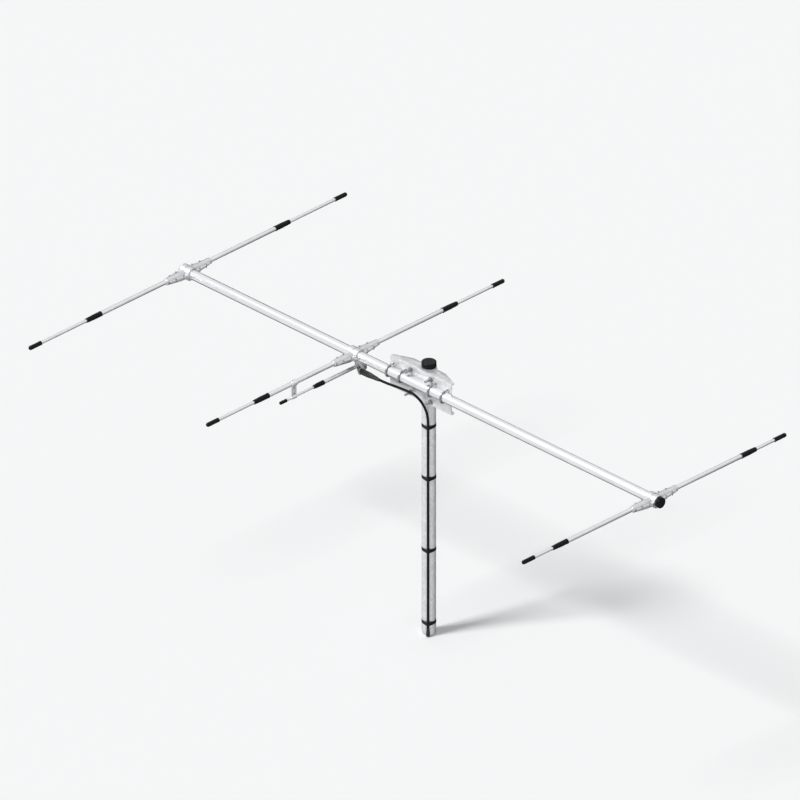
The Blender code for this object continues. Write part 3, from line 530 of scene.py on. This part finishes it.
def nut_rings(corner, low, high, bore):
    """Hexagon nut along local Z, chamfered at both faces and open in the middle."""
    face = corner * 0.90
    drop = (corner - face) * 0.58
    outline = [(bore, low), (face, low), (corner, low + drop)]
    outline += [(corner, high - drop), (face, high), (bore, high)]
    return turned_rings(outline, 48, hex_limit(corner))


def head_rings(corner, low, high):
    """Hexagon bolt head along local Z, chamfered and slightly dished on top."""
    face = corner * 0.90
    drop = (corner - face) * 0.58
    outline = [(0, low), (corner * 0.86, low), (corner, low + 0.0002), (corner, high - drop), (face, high)]
    outline += [(face * 0.72, high), (face * 0.66, high - 0.0003), (0, high - 0.0003)]
    return turned_rings(outline, 48, hex_limit(corner))


def washer_rings(outer, bore, low, high):
    ease = (high - low) * 0.3
    outline = eased([(outer, low, ease), (outer, high, ease), (bore, high, ease), (bore, low, ease)], 2)
    return turned_rings(outline, 40)


def threaded_rings(radius, low, high, pitch):
    """Threaded bar along local Z, its thread drawn as turned grooves."""
    depth = pitch * 0.45
    outline = [(0, low), (radius - depth, low)]
    count = max(1, int((high - low) / pitch))
    step = (high - low) / count
    for index in range(count):
        start = low + index * step
        outline += [(radius - depth * 0.9, start + step * 0.12), (radius, start + step * 0.42)]
        outline += [(radius, start + step * 0.58), (radius - depth * 0.9, start + step * 0.88)]
    outline += [(radius - depth, high), (0, high)]
    return turned_rings(outline, 24)


def bar_rings(radius, low, high, ease, sides=32):
    return turned_rings(eased([(0, low), (radius, low, ease), (radius, high, ease), (0, high)], 2), sides)


def assembled(name, *groups):
    """One mesh from groups of rings, each group turned by its own matrix."""
    solid = bmesh.new()
    for rings, matrix in groups:
        ring_solid(solid, [[matrix @ Vector(point) for point in ring] for ring in rings])
    return mesh_from(name, solid)


def stacked(name, *groups):
    """One mesh from groups of rings that are all in place already."""
    return assembled(name, *((rings, UPRIGHT) for rings in groups))


def swept_rings(path, radius, sides=20):
    """Round bar along a path, with its section carried from point to point without twisting."""
    path = [Vector(point) for point in path]
    heading = (path[1] - path[0]).normalized()
    side = heading.orthogonal().normalized()
    rings = [[tuple(path[0])]]
    for index, point in enumerate(path):
        before, after = path[max(index - 1, 0)], path[min(index + 1, len(path) - 1)]
        heading = (after - before).normalized()
        side = (side - heading * side.dot(heading)).normalized()
        other = heading.cross(side)
        ring = []
        for step in range(sides):
            angle = math.tau * step / sides
            ring.append(tuple(point + (side * math.cos(angle) + other * math.sin(angle)) * radius))
        rings.append(ring)
    rings.append([tuple(path[-1])])
    return rings


def walked_along(points):
    """Distance walked at each point, from the first one on."""
    walked = [0.0]
    for before, after in zip(points, points[1:]):
        walked.append(walked[-1] + (after - before).length)
    return walked


def even_steps(points, count):
    """Points that split a walk into equal steps, with both of its ends."""
    walked = walked_along(points)
    spaced, index = [], 0
    for step in range(count + 1):
        goal = walked[-1] * step / count
        while index < len(walked) - 2 and walked[index + 1] < goal:
            index += 1
        share = (goal - walked[index]) / (walked[index + 1] - walked[index])
        spaced.append(points[index].lerp(points[index + 1], min(1.0, share)))
    return spaced


def smooth_route(route, spacing):
    """Points about a spacing apart on a smooth curve through the route."""
    points = [Vector(point) for point in route]
    slopes = [points[1] - points[0]]
    slopes += [(after - before) / 2 for before, after in zip(points, points[2:])]
    slopes.append(points[-1] - points[-2])
    dense = []
    for index in range(len(points) - 1):
        first, last = points[index], points[index + 1]
        span = (last - first).length
        lead = first + slopes[index].normalized() * span / 3
        tail = last - slopes[index + 1].normalized() * span / 3
        dense += interpolate_bezier(first, lead, tail, last, 60)[:-1]
    dense.append(points[-1])
    return even_steps(dense, max(2, round(walked_along(dense)[-1] / spacing)))


def centre(node):
    low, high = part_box(node)
    return (low + high) / 2


def at(*place):
    return Matrix.Translation(Vector(place))


# ---- round tubes, caps and sleeves


def show_mast():
    low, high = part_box("mast_tube")
    radius = (high.x - low.x) / 2
    show_pipe("mast_pipe", high.z, radius, MAST_WALL, 72, "galvanised", "mast", "mast_tube")
    skirt, seat = radius + FIT_GAP, high.z + FIT_GAP
    low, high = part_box("mast_cap")
    outer = (high.x - low.x) / 2
    side = outer - 0.0004
    cap = [(0, high.z - 0.0002), (outer - 0.010, high.z), (side, high.z, 0.0030)]
    cap += [(side, low.z + 0.0046, 0.0006), (outer, low.z + 0.0036, 0.0006)]
    cap += [(outer, low.z, 0.0008), (skirt, low.z), (skirt, seat), (0, seat)]
    show_turned("mast_cap_vinyl", cap, 72, "vinyl", "mast", "mast_cap")


def show_boom():
    low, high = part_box("boom_tube")
    middle = (low + high) / 2
    radius = (high.y - low.y) / 2
    matrix = at(low.x, middle.y, middle.z) @ TO_X
    show_pipe("boom_pipe", high.x - low.x, radius, BOOM_WALL, 64, "tube", "boom", "boom_tube", matrix)

    cap_low, cap_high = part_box("boom_cap_front")
    lip = (cap_high.y - cap_low.y) / 2
    skirt, top, start = radius + FIT_GAP, cap_high.x - high.x, cap_low.x - high.x
    cap = [(0, top), (lip, top, 0.0022), (lip, start + 0.002, 0.0005), (lip - 0.0006, start, 0.0004)]
    cap += [(skirt, start), (skirt, FIT_GAP), (0, FIT_GAP)]
    matrix = at(high.x, middle.y, middle.z) @ TO_X
    show_turned("boom_cap_vinyl", cap, 64, "vinyl", "boom", "boom_cap_front", matrix)

    plug_low, plug_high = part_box("boom_plug_rear")
    rim = (plug_high.y - plug_low.y) / 2
    top, deep, inner = low.x - plug_low.x, plug_high.x - low.x, radius - BOOM_WALL - PLUG_CLEARANCE
    plug = [(0, top), (rim, top, 0.0012), (rim, FIT_GAP, 0.0002), (inner, FIT_GAP)]
    plug += [(inner, -deep, 0.0008), (inner - PLUG_WALL, -deep, 0.0008), (inner - PLUG_WALL, 0), (0, 0)]
    matrix = at(low.x, middle.y, middle.z) @ TO_MINUS_X
    show_turned("boom_plug_vinyl", plug, 64, "vinyl", "boom", "boom_plug_rear", matrix)


def span_y(node, sign, hub):
    """A node's near and far ends, as distances from the boom's axis along one side, and the node's radius."""
    low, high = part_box(node)
    ends = (low.y - hub, high.y - hub) if sign > 0 else (hub - high.y, hub - low.y)
    return ends, (high.x - low.x) / 2


def sleeve_outline(start, end, outer, shoulder, wide, narrow):
    """Shrunk vinyl sleeve: a bead at each mouth, and a step where the thinner tube leaves it."""
    outline = [(wide, start), (outer, start, 0.0010), (outer, start + 0.0045, 0.0006)]
    outline += [(outer - 0.0007, start + 0.0056, 0.0006), (outer - 0.0005, shoulder, 0.0010)]
    outline += [(outer - 0.0010, shoulder + 0.006, 0.002), (outer - 0.0018, end - 0.010, 0.0020)]
    outline += [(outer - 0.0024, end - 0.0015, 0.0010), (outer - 0.0034, end, 0.0006), (narrow, end)]
    return outline + [(narrow, shoulder), (wide, shoulder)]


def tip_outline(start, end, radius, bore, inset):
    """Push-on tip cap: a rolled mouth, straight sides and a round nose."""
    outline = [(bore, start), (radius, start, 0.0008), (radius, start + 0.0038, 0.0006)]
    outline += [(radius - 0.0006, start + 0.0048, 0.0005)]
    body = radius - 0.0006
    for step in range(13):
        angle = math.radians(90 * step / 13)
        outline.append((body * math.cos(angle), end - body + body * math.sin(angle)))
    return outline + [(0, end), (0, end - inset), (bore, end - inset)]


def show_element(name):
    """Both halves of an element: base tube and sleeve on the boom, tip tube and cap on their own body."""
    hub = centre("boom_tube").y
    for side, sign in SIDES:
        turn = TO_Y if sign > 0 else TO_MINUS_Y
        base, sleeve = f"{name}_base_tube_{side}", f"{name}_joint_sleeve_{side}"
        tip, cap = f"{name}_tip_tube_{side}", f"{name}_tip_cap_{side}"
        place = at(centre(base).x, hub, centre(base).z) @ turn
        tip_body = f"{name}_tip_{side}"

        (start, end), radius = span_y(base, sign, hub)
        rod, spot = f"{name}_base_rod_{side}", place @ at(0, 0, start)
        show_pipe(rod, end - start, radius, BASE_TUBE_WALL, 48, "tube", "boom", base, spot)
        shoulder, wide = end + FIT_GAP, radius + FIT_GAP
        (start, end), radius = span_y(tip, sign, hub)
        rod, spot = f"{name}_tip_rod_{side}", place @ at(0, 0, start)
        show_pipe(rod, end - start, radius, TIP_TUBE_WALL, 40, "tube", tip_body, tip, spot)
        tip_end, narrow = end, radius + FIT_GAP
        (start, end), radius = span_y(sleeve, sign, hub)
        outline = sleeve_outline(start, end, radius, shoulder, wide, narrow)
        show_turned(f"{name}_sleeve_{side}", outline, 48, "vinyl", "boom", sleeve, place)
        (start, end), radius = span_y(cap, sign, hub)
        outline = tip_outline(start, end, radius, narrow, end - tip_end - FIT_GAP)
        show_turned(f"{name}_cap_{side}", outline, 40, "vinyl", tip_body, cap, place)


# ---- castings and pressed sheet


def evaluated_mesh(item):
    """The item's mesh after its modifiers, as a new mesh; the item itself is removed."""
    bpy.context.view_layer.update()
    evaluated = item.evaluated_get(bpy.context.evaluated_depsgraph_get())
    mesh = bpy.data.meshes.new_from_object(evaluated)
    bpy.data.objects.remove(item)
    return mesh


def softened(node, voxel, rounds):
    """Copy of a CAD solid with the small even rounding of a casting on every edge."""
    item = placed("casting", NODES[node].data.copy())
    remesh = item.modifiers.new("remesh", "REMESH")
    remesh.mode = "VOXEL"
    remesh.voxel_size = voxel
    smooth = item.modifiers.new("smooth", "SMOOTH")
    smooth.factor = 0.5
    smooth.iterations = rounds
    mesh = evaluated_mesh(item)
    mesh.materials.clear()
    mesh.shade_smooth()
    return mesh


def clamp_bolt_mesh(under, over):
    """Hexagon bolt down through both halves of a clamp, with washers and a nut below."""
    washer, head, corner = 0.0010, 0.0030, 0.0044
    rim, bore = 0.0052, 0.0028
    seat, nut = over + washer, under - washer
    return stacked(
        "clamp_bolt",
        washer_rings(rim, bore, over, seat),
        head_rings(corner, seat, seat + head),
        bar_rings(CLAMP_BOLT_RADIUS, nut - 0.0010, seat + 0.0002, 0.0002, 20),
        washer_rings(rim, bore, nut, under),
        nut_rings(corner, nut - 0.0042, nut, 0.0024),
        threaded_rings(CLAMP_BOLT_RADIUS, nut - 0.0085, nut - 0.0008, 0.0010),
    )


def show_clamps():
    """The two castings and eight bolts of each clamp; the three clamps are alike."""
    hub = centre("boom_tube").y
    meshes = {half: softened(f"driven_clamp_{half}", 0.0008, 12) for half in ("upper", "lower")}
    home = centre("driven_clamp_upper").x
    height = centre("driven_base_tube_left").z
    bolt = clamp_bolt_mesh(-CLAMP_FLANGE_FACE, CLAMP_FLANGE_FACE)
    for name in ELEMENTS:
        shift = centre(f"{name}_clamp_upper").x - home
        for half in ("upper", "lower"):
            piece, node = f"{name}_clamp_casting_{half}", f"{name}_clamp_{half}"
            show(piece, meshes[half], "cast", "boom", [node], at(shift, 0, 0))
        number = 0
        for reach_x, reach_y in CLAMP_BOLT_PLACES:
            for x in (-reach_x, reach_x):
                for y in (-reach_y, reach_y):
                    number += 1
                    turn = Matrix.Rotation(BOLT_TURN * number, 4, "Z")
                    place = at(home + shift + x, hub + y, height) @ turn
                    show(f"{name}_clamp_bolt_{number}", bolt, "zinc", "boom", (), place)


def dress_node(node, look, ease):
    """A CAD solid shown as it is, with its look and, where ease isn't 0, a small bevel on its edges."""
    item = NODES[node]
    item.data.materials.clear()
    item.data.materials.append(LOOKS[look])
    join = item.modifiers.new("weld", "WELD")
    join.merge_threshold = WELD_DISTANCE
    if ease:
        bevel = item.modifiers.new("bevel", "BEVEL")
        bevel.width = ease
        bevel.segments = 2
        bevel.limit_method = "ANGLE"
        bevel.angle_limit = BEVEL_ANGLE
        bevel.use_clamp_overlap = True
        bevel.harden_normals = False
    item.data.shade_smooth()
    item.data.set_sharp_from_angle(angle=SHARP_ANGLE)


# ---- boom-to-mast fasteners


def u_bolt_mesh(bend, tail, washer_seat):
    """Rod bent half round the boom, with threaded legs to the tail, and a washer and nut on each leg."""
    rod = U_BOLT_RADIUS
    path = [(0, washer_seat - 0.002, bend)]
    for step in range(37):
        angle = math.radians(90 + 5 * step)
        path.append((0, bend * math.cos(angle), bend * math.sin(angle)))
    path.append((0, washer_seat - 0.002, -bend))
    groups = [(swept_rings(path, rod), UPRIGHT)]
    nut = washer_seat + 0.0016
    for z in (-bend, bend):
        leg = at(0, 0, z) @ TO_Y
        groups += [
            (washer_rings(0.0090, rod, washer_seat, nut), leg),
            (nut_rings(0.0075, nut, nut + 0.0065, rod * 0.9), leg),
            (threaded_rings(rod, washer_seat - 0.004, tail, 0.0012), leg),
        ]
    return assembled("u_bolt", *groups)


def show_u_bolts():
    low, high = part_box("boom_u_bolt_1")
    axis = centre("boom_tube")
    washer_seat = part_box("mast_plate")[0].y + PLATE_THICKNESS + FIT_GAP - axis.y
    mesh = u_bolt_mesh(axis.y - low.y - U_BOLT_RADIUS, high.y - axis.y, washer_seat)
    for number in range(1, 5):
        node = f"boom_u_bolt_{number}"
        place = at(centre(node).x, axis.y, axis.z)
        show(f"boom_u_bolt_rod_{number}", mesh, "zinc", "boom", [node], place)


def mast_bolt_mesh(low, high, plate, ear):
    """Long bolt along local Z: threaded end, nut and two washers before the plate, head behind the strap."""
    radius, corner = MAST_BOLT_RADIUS, 0.0108
    washer = plate - 0.0024
    spring, nut = washer - 0.0026, washer - 0.0098
    return stacked(
        "mast_bolt",
        threaded_rings(radius, low, plate + 0.010, 0.00175),
        bar_rings(radius, plate + 0.009, ear + 0.001, 0.0001),
        washer_rings(0.0138, radius, washer, plate),
        washer_rings(0.0106, radius, spring, washer),
        nut_rings(corner, nut, spring, radius * 0.88),
        washer_rings(0.0125, radius, ear, ear + 0.002),
        head_rings(corner, ear + 0.002, high),
    )


def show_mast_bolts():
    """The four long bolts that draw plate and straps together round the mast."""
    low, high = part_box("mast_bolt_lower_front")
    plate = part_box("mast_plate")[0].y - FIT_GAP
    mesh = mast_bolt_mesh(low.y, high.y, plate, high.y - MAST_HEAD_AND_WASHER)
    for spot in ("lower_rear", "lower_front", "upper_rear", "upper_front"):
        node = f"mast_bolt_{spot}"
        place = at(centre(node).x, 0, centre(node).z) @ TO_Y
        show(f"mast_stud_{spot}", mesh, "zinc", "boom", [node], place)


# ---- feed, gamma match and coax


def carved(mesh, cutters):
    """The mesh with each cutter taken out of it."""
    for cutter in cutters:
        body, helper = placed("body", mesh), placed("helper", cutter)
        boolean = body.modifiers.new("carve", "BOOLEAN")
        boolean.operation = "DIFFERENCE"
        boolean.solver = "EXACT"
        boolean.object = helper
        mesh = evaluated_mesh(body)
        bpy.data.objects.remove(helper)
    mesh.shade_smooth()
    mesh.set_sharp_from_angle(angle=SHARP_ANGLE)
    return mesh


def cross(turn):
    """Angles of the two slots of a cross drive."""
    return (turn, turn + math.pi / 2)


def small_screw_mesh(name, radius, head, length, drive):
    """Pan-head screw along local Z, seated at 0, with a slot in its head at each angle of the drive."""
    solid = bmesh.new()
    dome = [(0, head), (radius * 0.55, head * 0.96), (radius * 0.86, head * 0.70), (radius, head * 0.30)]
    dome += [(radius, 0.0), (radius * 0.46, 0.0), (radius * 0.46, -length, 0.0004), (0, -length)]
    ring_solid(solid, turned_rings(eased(dome), 32))
    mesh = mesh_from(name, solid)
    size = Matrix.Diagonal((radius * 1.3, radius * 0.22, head, 1.0))
    cutters = []
    for turn in drive:
        bar = bmesh.new()
        bmesh.ops.create_cube(bar, size=1.0)
        matrix = Matrix.Rotation(turn, 4, "Z") @ at(0, 0, head * 1.05) @ size
        bmesh.ops.transform(bar, matrix=matrix, verts=bar.verts)
        cutters.append(mesh_from("drive", bar))
    return carved(mesh, cutters)


def ribbed(count, depth, low, high, skin, fades=None):
    """Turned shape with grooves beyond the radius skin, between two heights, towards which they may fade."""

    def reach(radius, height, angle):
        if not low < height < high or radius <= skin:
            return radius
        share = min(1.0, (height - low) / fades[0], (high - height) / fades[1]) if fades else 1.0
        return radius - depth * share * (0.5 - 0.5 * math.cos(angle * count))

    return reach


def knurled(low, high):
    return ribbed(30, 0.0005, low, high, PLUG_SKIN)


def plug_nut_outline():
    """Coupling nut of the coax plug, from the socket outwards, with rings enough to carry its knurls."""
    outline = [(0.0072, 0.0240), (0.0072, 0.0400, 0.0006), (0, 0.0400), (0, 0.0156), (0.0081, 0.0156)]
    outline += [(0.0081, 0.0042), (0.0093, 0.0042, 0.0004)]
    outline += [(0.0093, 0.0042 + 0.0178 * step / 8) for step in range(1, 8)]
    return outline + [(0.0093, 0.0220, 0.0006)]


def boot_outline(start):
    """Rubber boot over the plug and the cable's end: straight, then tapered, then four grooves."""
    outline = [(0.0098, start, 0.0004), (BOOT_RADIUS, start, 0.0014)]
    outline += [(BOOT_RADIUS, start + rise) for rise in (0.004, 0.012, 0.020, 0.030, 0.040, 0.050)]
    outline += [(0.0153, start + 0.058), (0.0146, start + 0.064), (0.0137, start + 0.072)]
    outline += [(0.0126, start + 0.082), (0.0115, start + 0.092), (0.0105, start + 0.102)]
    for index in range(4):
        groove = start + 0.104 + index * 0.0050
        reach = 0.0102 - index * 0.0006
        outline += [(reach, groove, 0.0004), (reach - 0.0011, groove + 0.0006, 0.0003)]
        outline += [(reach - 0.0011, groove + 0.0022, 0.0003), (reach - 0.0001, groove + 0.0028, 0.0004)]
    outline += [(0.0072, start + 0.126, 0.0008), (0, start + 0.126), (0, 0.043), (0.0074, 0.043)]
    return outline + [(0.0074, 0.0245), (0.0098, 0.0224)]


def show_feed():
    """Feed plate and socket as in the CAD, the plug and its boot, and the screws of plate and socket."""
    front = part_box("feed_plate")[1].x
    socket, axis = centre("coax_plug"), centre("boom_tube")
    place = at(front, socket.y, socket.z) @ TO_X
    dress_node("feed_plate", "sheet", 0.0004)
    dress_node("coax_socket", "brass", 0.0004)

    outline = plug_nut_outline()
    show_turned("coax_plug_nut", outline, 96, "brass", "boom", "coax_plug", place, knurled(0.006, 0.0205))
    flutes = ribbed(6, 0.0030, BOOT_START + 0.008, BOOT_START + 0.100, BOOT_SKIN, (0.006, 0.012))
    outline = boot_outline(BOOT_START)
    show_turned("coax_boot_rubber", outline, 96, "rubber", "boom", "coax_boot", place, flutes)

    screw = small_screw_mesh("feed_screw", 0.0052, 0.0030, 0.012, cross(0.4))
    thickness = 0.0010
    washer = stacked("screw_washer", washer_rings(0.0062, 0.0026, 0.0, thickness))
    for number, y in enumerate((-0.036, 0.036), start=1):
        spot = at(front, axis.y + y, axis.z - 0.008) @ TO_X
        show(f"feed_washer_{number}", washer, "zinc", "boom", (), spot)
        show(f"feed_screw_{number}", screw, "zinc", "boom", (), spot @ at(0, 0, thickness))
    small = small_screw_mesh("socket_screw", 0.0026, 0.0017, 0.004, cross(0.2))
    corners = ((-1, -1), (-1, 1), (1, -1), (1, 1))
    for number, (side, rise) in enumerate(corners, start=1):
        y, z = socket.y + side * SOCKET_SCREW_REACH, socket.z + rise * SOCKET_SCREW_REACH
        spot = at(front + SOCKET_FLANGE_FACE, y, z) @ TO_X
        show(f"socket_screw_{number}", small, "zinc", "boom", (), spot)


def show_gamma():
    """Gamma tube and sleeve on the boom, and the sliding rod with its cap."""
    hub = centre("boom_tube").y
    (start, tube_end), radius = span_y("gamma_tube", -1, hub)
    place = at(centre("gamma_tube").x, hub, centre("gamma_tube").z) @ TO_MINUS_Y
    length, place = tube_end - start, place @ at(0, 0, start)
    show_pipe("gamma_pipe", length, radius, GAMMA_TUBE_WALL, 40, "tube", "boom", "gamma_tube", place)
    wide, shoulder = radius + FIT_GAP, tube_end + FIT_GAP

    (start, rod_end), radius = span_y("gamma_rod", -1, hub)
    length = rod_end - start
    place = at(centre("gamma_rod").x, hub, centre("gamma_rod").z) @ TO_MINUS_Y
    bar, spot = [(0, 0), (radius, 0, 0.0006), (radius, length, 0.0006), (0, length)], place @ at(0, 0, start)
    show_turned("gamma_bar", bar, 40, "tube", "gamma_rod_body", "gamma_rod", spot)
    narrow = radius + FIT_GAP

    (start, end), radius = span_y("gamma_rod_cap", -1, hub)
    outline = tip_outline(start, end, radius, narrow, end - rod_end - FIT_GAP)
    show_turned("gamma_cap_vinyl", outline, 40, "vinyl", "gamma_rod_body", "gamma_rod_cap", place)

    (start, end), radius = span_y("gamma_sleeve", -1, hub)
    outline = [(wide, start), (radius, start, 0.0010), (radius, start + 0.0045, 0.0006)]
    outline += [(radius - 0.0006, start + 0.0055, 0.0006), (radius - 0.0004, start + 0.040, 0.004)]
    outline += [(0.0098, end - 0.006, 0.003), (0.0086, end, 0.0010), (narrow, end)]
    outline += [(narrow, shoulder), (wide, shoulder)]
    show_turned("gamma_boot_vinyl", outline, 48, "vinyl", "boom", "gamma_sleeve", place)

    dress_node("gamma_insulator", "nylon", 0)
    dress_node("gamma_block", "nylon", 0.0006)


def show_gamma_strap():
    """Folded strap that joins element and rod, with a slotted screw and a nut near each end of its web."""
    strap = softened("gamma_strap", 0.0006, 3)
    show("gamma_strap_folded", strap, "sheet", "gamma_strap_body", ["gamma_strap"])
    middle = centre("gamma_strap")
    screw = small_screw_mesh("strap_screw", 0.0048, 0.0028, 0.010, (0.9,))
    nut = stacked("strap_nut", nut_rings(0.0046, 0.0, 0.0032, 0.0021))
    stud = stacked("strap_stud", threaded_rings(0.0022, -0.004, 0.0050, 0.0008))
    heights = (
        centre("driven_base_tube_right").z - WEB_BELOW_ELEMENT - WEB_SCREW_INSET,
        centre("gamma_rod").z + WEB_ABOVE_ROD + WEB_SCREW_INSET,
    )
    for number, z in enumerate(heights, start=1):
        spot = at(middle.x + WEB_HALF_THICKNESS, middle.y, z) @ TO_X
        back = at(middle.x - WEB_HALF_THICKNESS, middle.y, z) @ TO_MINUS_X
        for kind, mesh, place in (("screw", screw, spot), ("nut", nut, back), ("stud", stud, back)):
            show(f"strap_{kind}_{number}", mesh, "zinc", "gamma_strap_body", (), place)


def strip_rings(path, width, thickness):
    """Flat strip along a path in the XZ plane, its width along Y, with its corners rounded off."""
    half, ease = width / 2, thickness * 0.4
    rings = []
    for index, (x, z) in enumerate(path):
        before, after = Vector(path[max(index - 1, 0)]), Vector(path[min(index + 1, len(path) - 1)])
        heading = (after - before).normalized()
        across = Vector((-heading.y, heading.x))
        ring = []
        for y, level in ((-half, 1), (half, 1), (half, -1), (-half, -1)):
            inner = y - math.copysign(ease, y)
            high, low = thickness / 2 * level, (thickness / 2 - ease) * level
            pair = [(y, low), (inner, high)] if (y < 0) == (level > 0) else [(inner, high), (y, low)]
            ring += [(x + across.x * lift, reach, z + across.y * lift) for reach, lift in pair]
        rings.append(ring)
    return rings


def show_gamma_link():
    """Tinned strip from the socket's centre contact to a screw in the side of the gamma tube."""
    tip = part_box("coax_socket")[0].x
    axis, tube = centre("coax_plug"), centre("gamma_tube")
    side = tube.x + span_y("gamma_tube", -1, tube.y)[1] + 0.0004
    level = axis.z + 0.0019
    route = [(tip + 0.0042, 0, level), (tip, 0, level), (tip - 0.0045, 0, level)]
    route += [(side + 0.0016, 0, level + 0.0012), (side, 0, tube.z - 0.0030)]
    route += [(side, 0, tube.z), (side, 0, tube.z + 0.0042)]
    path = [(point.x, point.z) for point in smooth_route(route, 0.0007)]
    ends = [[(x, 0, z)] for x, z in (path[0], path[-1])]
    strip = ends[:1] + strip_rings(path, 0.0056, 0.0008) + ends[1:]
    solder = [(0, -0.0006), (0.0012, -0.0004), (0.0027, 0.0010), (0.0029, 0.0022)]
    solder += [(0.0021, 0.0038), (0.0014, 0.0042), (0, 0.0042)]
    spot = at(tip, 0, axis.z + 0.0003) @ TO_X
    mesh = assembled("gamma_link", (strip, UPRIGHT), (turned_rings(solder, 24), spot))
    show("gamma_link", mesh, "brass", "boom", (), at(0, axis.y, 0))
    screw = small_screw_mesh("link_screw", 0.0030, 0.0018, 0.003, cross(0.5))
    show("gamma_link_screw", screw, "zinc", "boom", (), at(side + 0.0004, axis.y, tube.z) @ TO_X)


# Coax: its middle line from the boot to the end plug
COAX_ROUTE = (
    (-0.2580, -0.0826, 1.3405),
    (-0.2000, -0.0826, 1.3432),
    (-0.1300, -0.0828, 1.3505),
    (-0.0690, -0.0830, 1.3545),
    (-0.0250, -0.0820, 1.3535),
    (0.0110, -0.0775, 1.3360),
    (0.0290, -0.0680, 1.3080),
    (0.0322, -0.0540, 1.2750),
    (0.0290, -0.0405, 1.2400),
    (0.0268, -0.0334, 1.2050),
    (0.0265, -0.0324, 1.1650),
    (0.0265, -0.0324, 0.8770),
    (0.0265, -0.0324, 0.4740),
    (0.0265, -0.0324, 0.1500),
    (0.0273, -0.0334, 0.0680),
    (0.0286, -0.0349, 0.0475),
)
COAX_RADIUS = 0.0065
COAX_STEP = 0.005
TAPE_HEIGHTS = (1.165, 0.877, 0.474, 0.068)
TAPE_WIDTH = 0.019
# Each turn of a band: how far its lower and upper edges are moved, and how thick the band is there
TAPE_TURNS = ((0.0, 0.0, 0.0006), (0.0012, -0.0022, 0.0009), (-0.0010, -0.0046, 0.0012))
TAPE_GAP = 0.0002


def show_coax():
    """The whole cable as one mesh from the boot down to the end plug, in place of both CAD pieces of the
    coax.
    """
    path = smooth_route(COAX_ROUTE, COAX_STEP)
    mesh = stacked("coax_cable", swept_rings(path, COAX_RADIUS, 24))
    item = placed("coax_cable", mesh)
    mesh.materials.append(LOOKS["jacket"])
    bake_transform(item)
    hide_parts("coax_feed", "coax_mast")


def show_end_plug():
    """Moulded connector on the cable's lower end: ribbed grip, open mouth and a centre pin."""
    end = centre("coax_end_plug")
    low, high, grip = 0.003, 0.047, 0.0096
    plug = [(0, high), (0.0076, high, 0.0010), (0.0080, low + 0.0240), (grip, low + 0.0225, 0.0005)]
    plug += [(grip, low + 0.0225 - 0.0215 * step / 8) for step in range(1, 8)]
    plug += [(0.0095, low + 0.001, 0.0004), (0.0085, low, 0.0004), (0.0072, low), (0.0072, low + 0.010)]
    plug += [(0.0020, low + 0.010), (0.0020, low + 0.002, 0.0008), (0, low + 0.002)]
    place, knurls = at(end.x, end.y, 0), knurled(low + 0.003, low + 0.0215)
    show_turned("coax_end_fitting", plug, 96, "rubber", "mast", "coax_end_plug", place, knurls)


def turn_of(first, second, third):
    """Above 0 where the walk through three points turns left."""
    return (second[0] - first[0]) * (third[1] - first[1]) - (second[1] - first[1]) * (third[0] - first[0])


def hull_outline(circles, grow):
    """Outline of a band stretched round several circles, each grown by the same amount."""
    points = set()
    for x, y, radius in circles:
        reach = radius + grow
        for step in range(96):
            angle = math.tau * step / 96
            points.add((x + reach * math.cos(angle), y + reach * math.sin(angle)))
    points = sorted(points)

    def half(ordered):
        chain = []
        for point in ordered:
            while len(chain) > 1 and turn_of(chain[-2], chain[-1], point) <= 0:
                chain.pop()
            chain.append(point)
        return chain[:-1]

    return half(points) + half(points[::-1])


def even_loop(outline, count):
    """Points an even distance apart round a closed outline."""
    closed = [Vector(point) for point in outline + outline[:1]]
    return [tuple(point) for point in even_steps(closed, count)[:-1]]


def band_rings(circles, low, high, inner, outer):
    """Closed band from low to high: the inner and outer skins share one even walk round the outline."""
    edge, ease = outer - 0.0003, 0.0004
    walks = {grow: even_loop(hull_outline(circles, grow), 120) for grow in (inner, outer, edge)}
    levels = [(inner, low), (edge, low), (outer, low + ease)]
    levels += [(outer, high - ease), (edge, high), (inner, high)]
    return [[(x, y, z) for x, y in walks[grow]] for grow, z in levels]


def show_tape():
    """Bands of tape that hold the cable to the mast, each wound in three overlapping turns."""
    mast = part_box("mast_tube")[1].x
    route = smooth_route(COAX_ROUTE, COAX_STEP)
    half = TAPE_WIDTH / 2
    for number, height in enumerate(TAPE_HEIGHTS, start=1):
        near = min(route, key=lambda point: abs(point.z - height))
        circles = [(0, 0, mast), (near.x, near.y, COAX_RADIUS)]
        turns = []
        for drop, rise, thick in TAPE_TURNS:
            low = height - half + 0.0012 + drop
            high = height + half - 0.0006 + rise
            turns.append(band_rings(circles, low, high, TAPE_GAP, thick + TAPE_GAP))
        show(f"mast_tape_{number}", stacked("tape", *turns), "tape", "mast")


# ---- the whole object

make_camera()
LOOKS = make_looks()
show_coax()
show_end_plug()
show_tape()
show_mast()
show_boom()
for element_name in ELEMENTS:
    show_element(element_name)
show_clamps()
for sheet_node in ("mast_plate", "mast_strap_lower", "mast_strap_upper"):
    dress_node(sheet_node, "galvanised", 0.0006)
show_u_bolts()
show_mast_bolts()
show_feed()
show_gamma()
show_gamma_strap()
show_gamma_link()
make_floor()
make_sun()
make_surround()
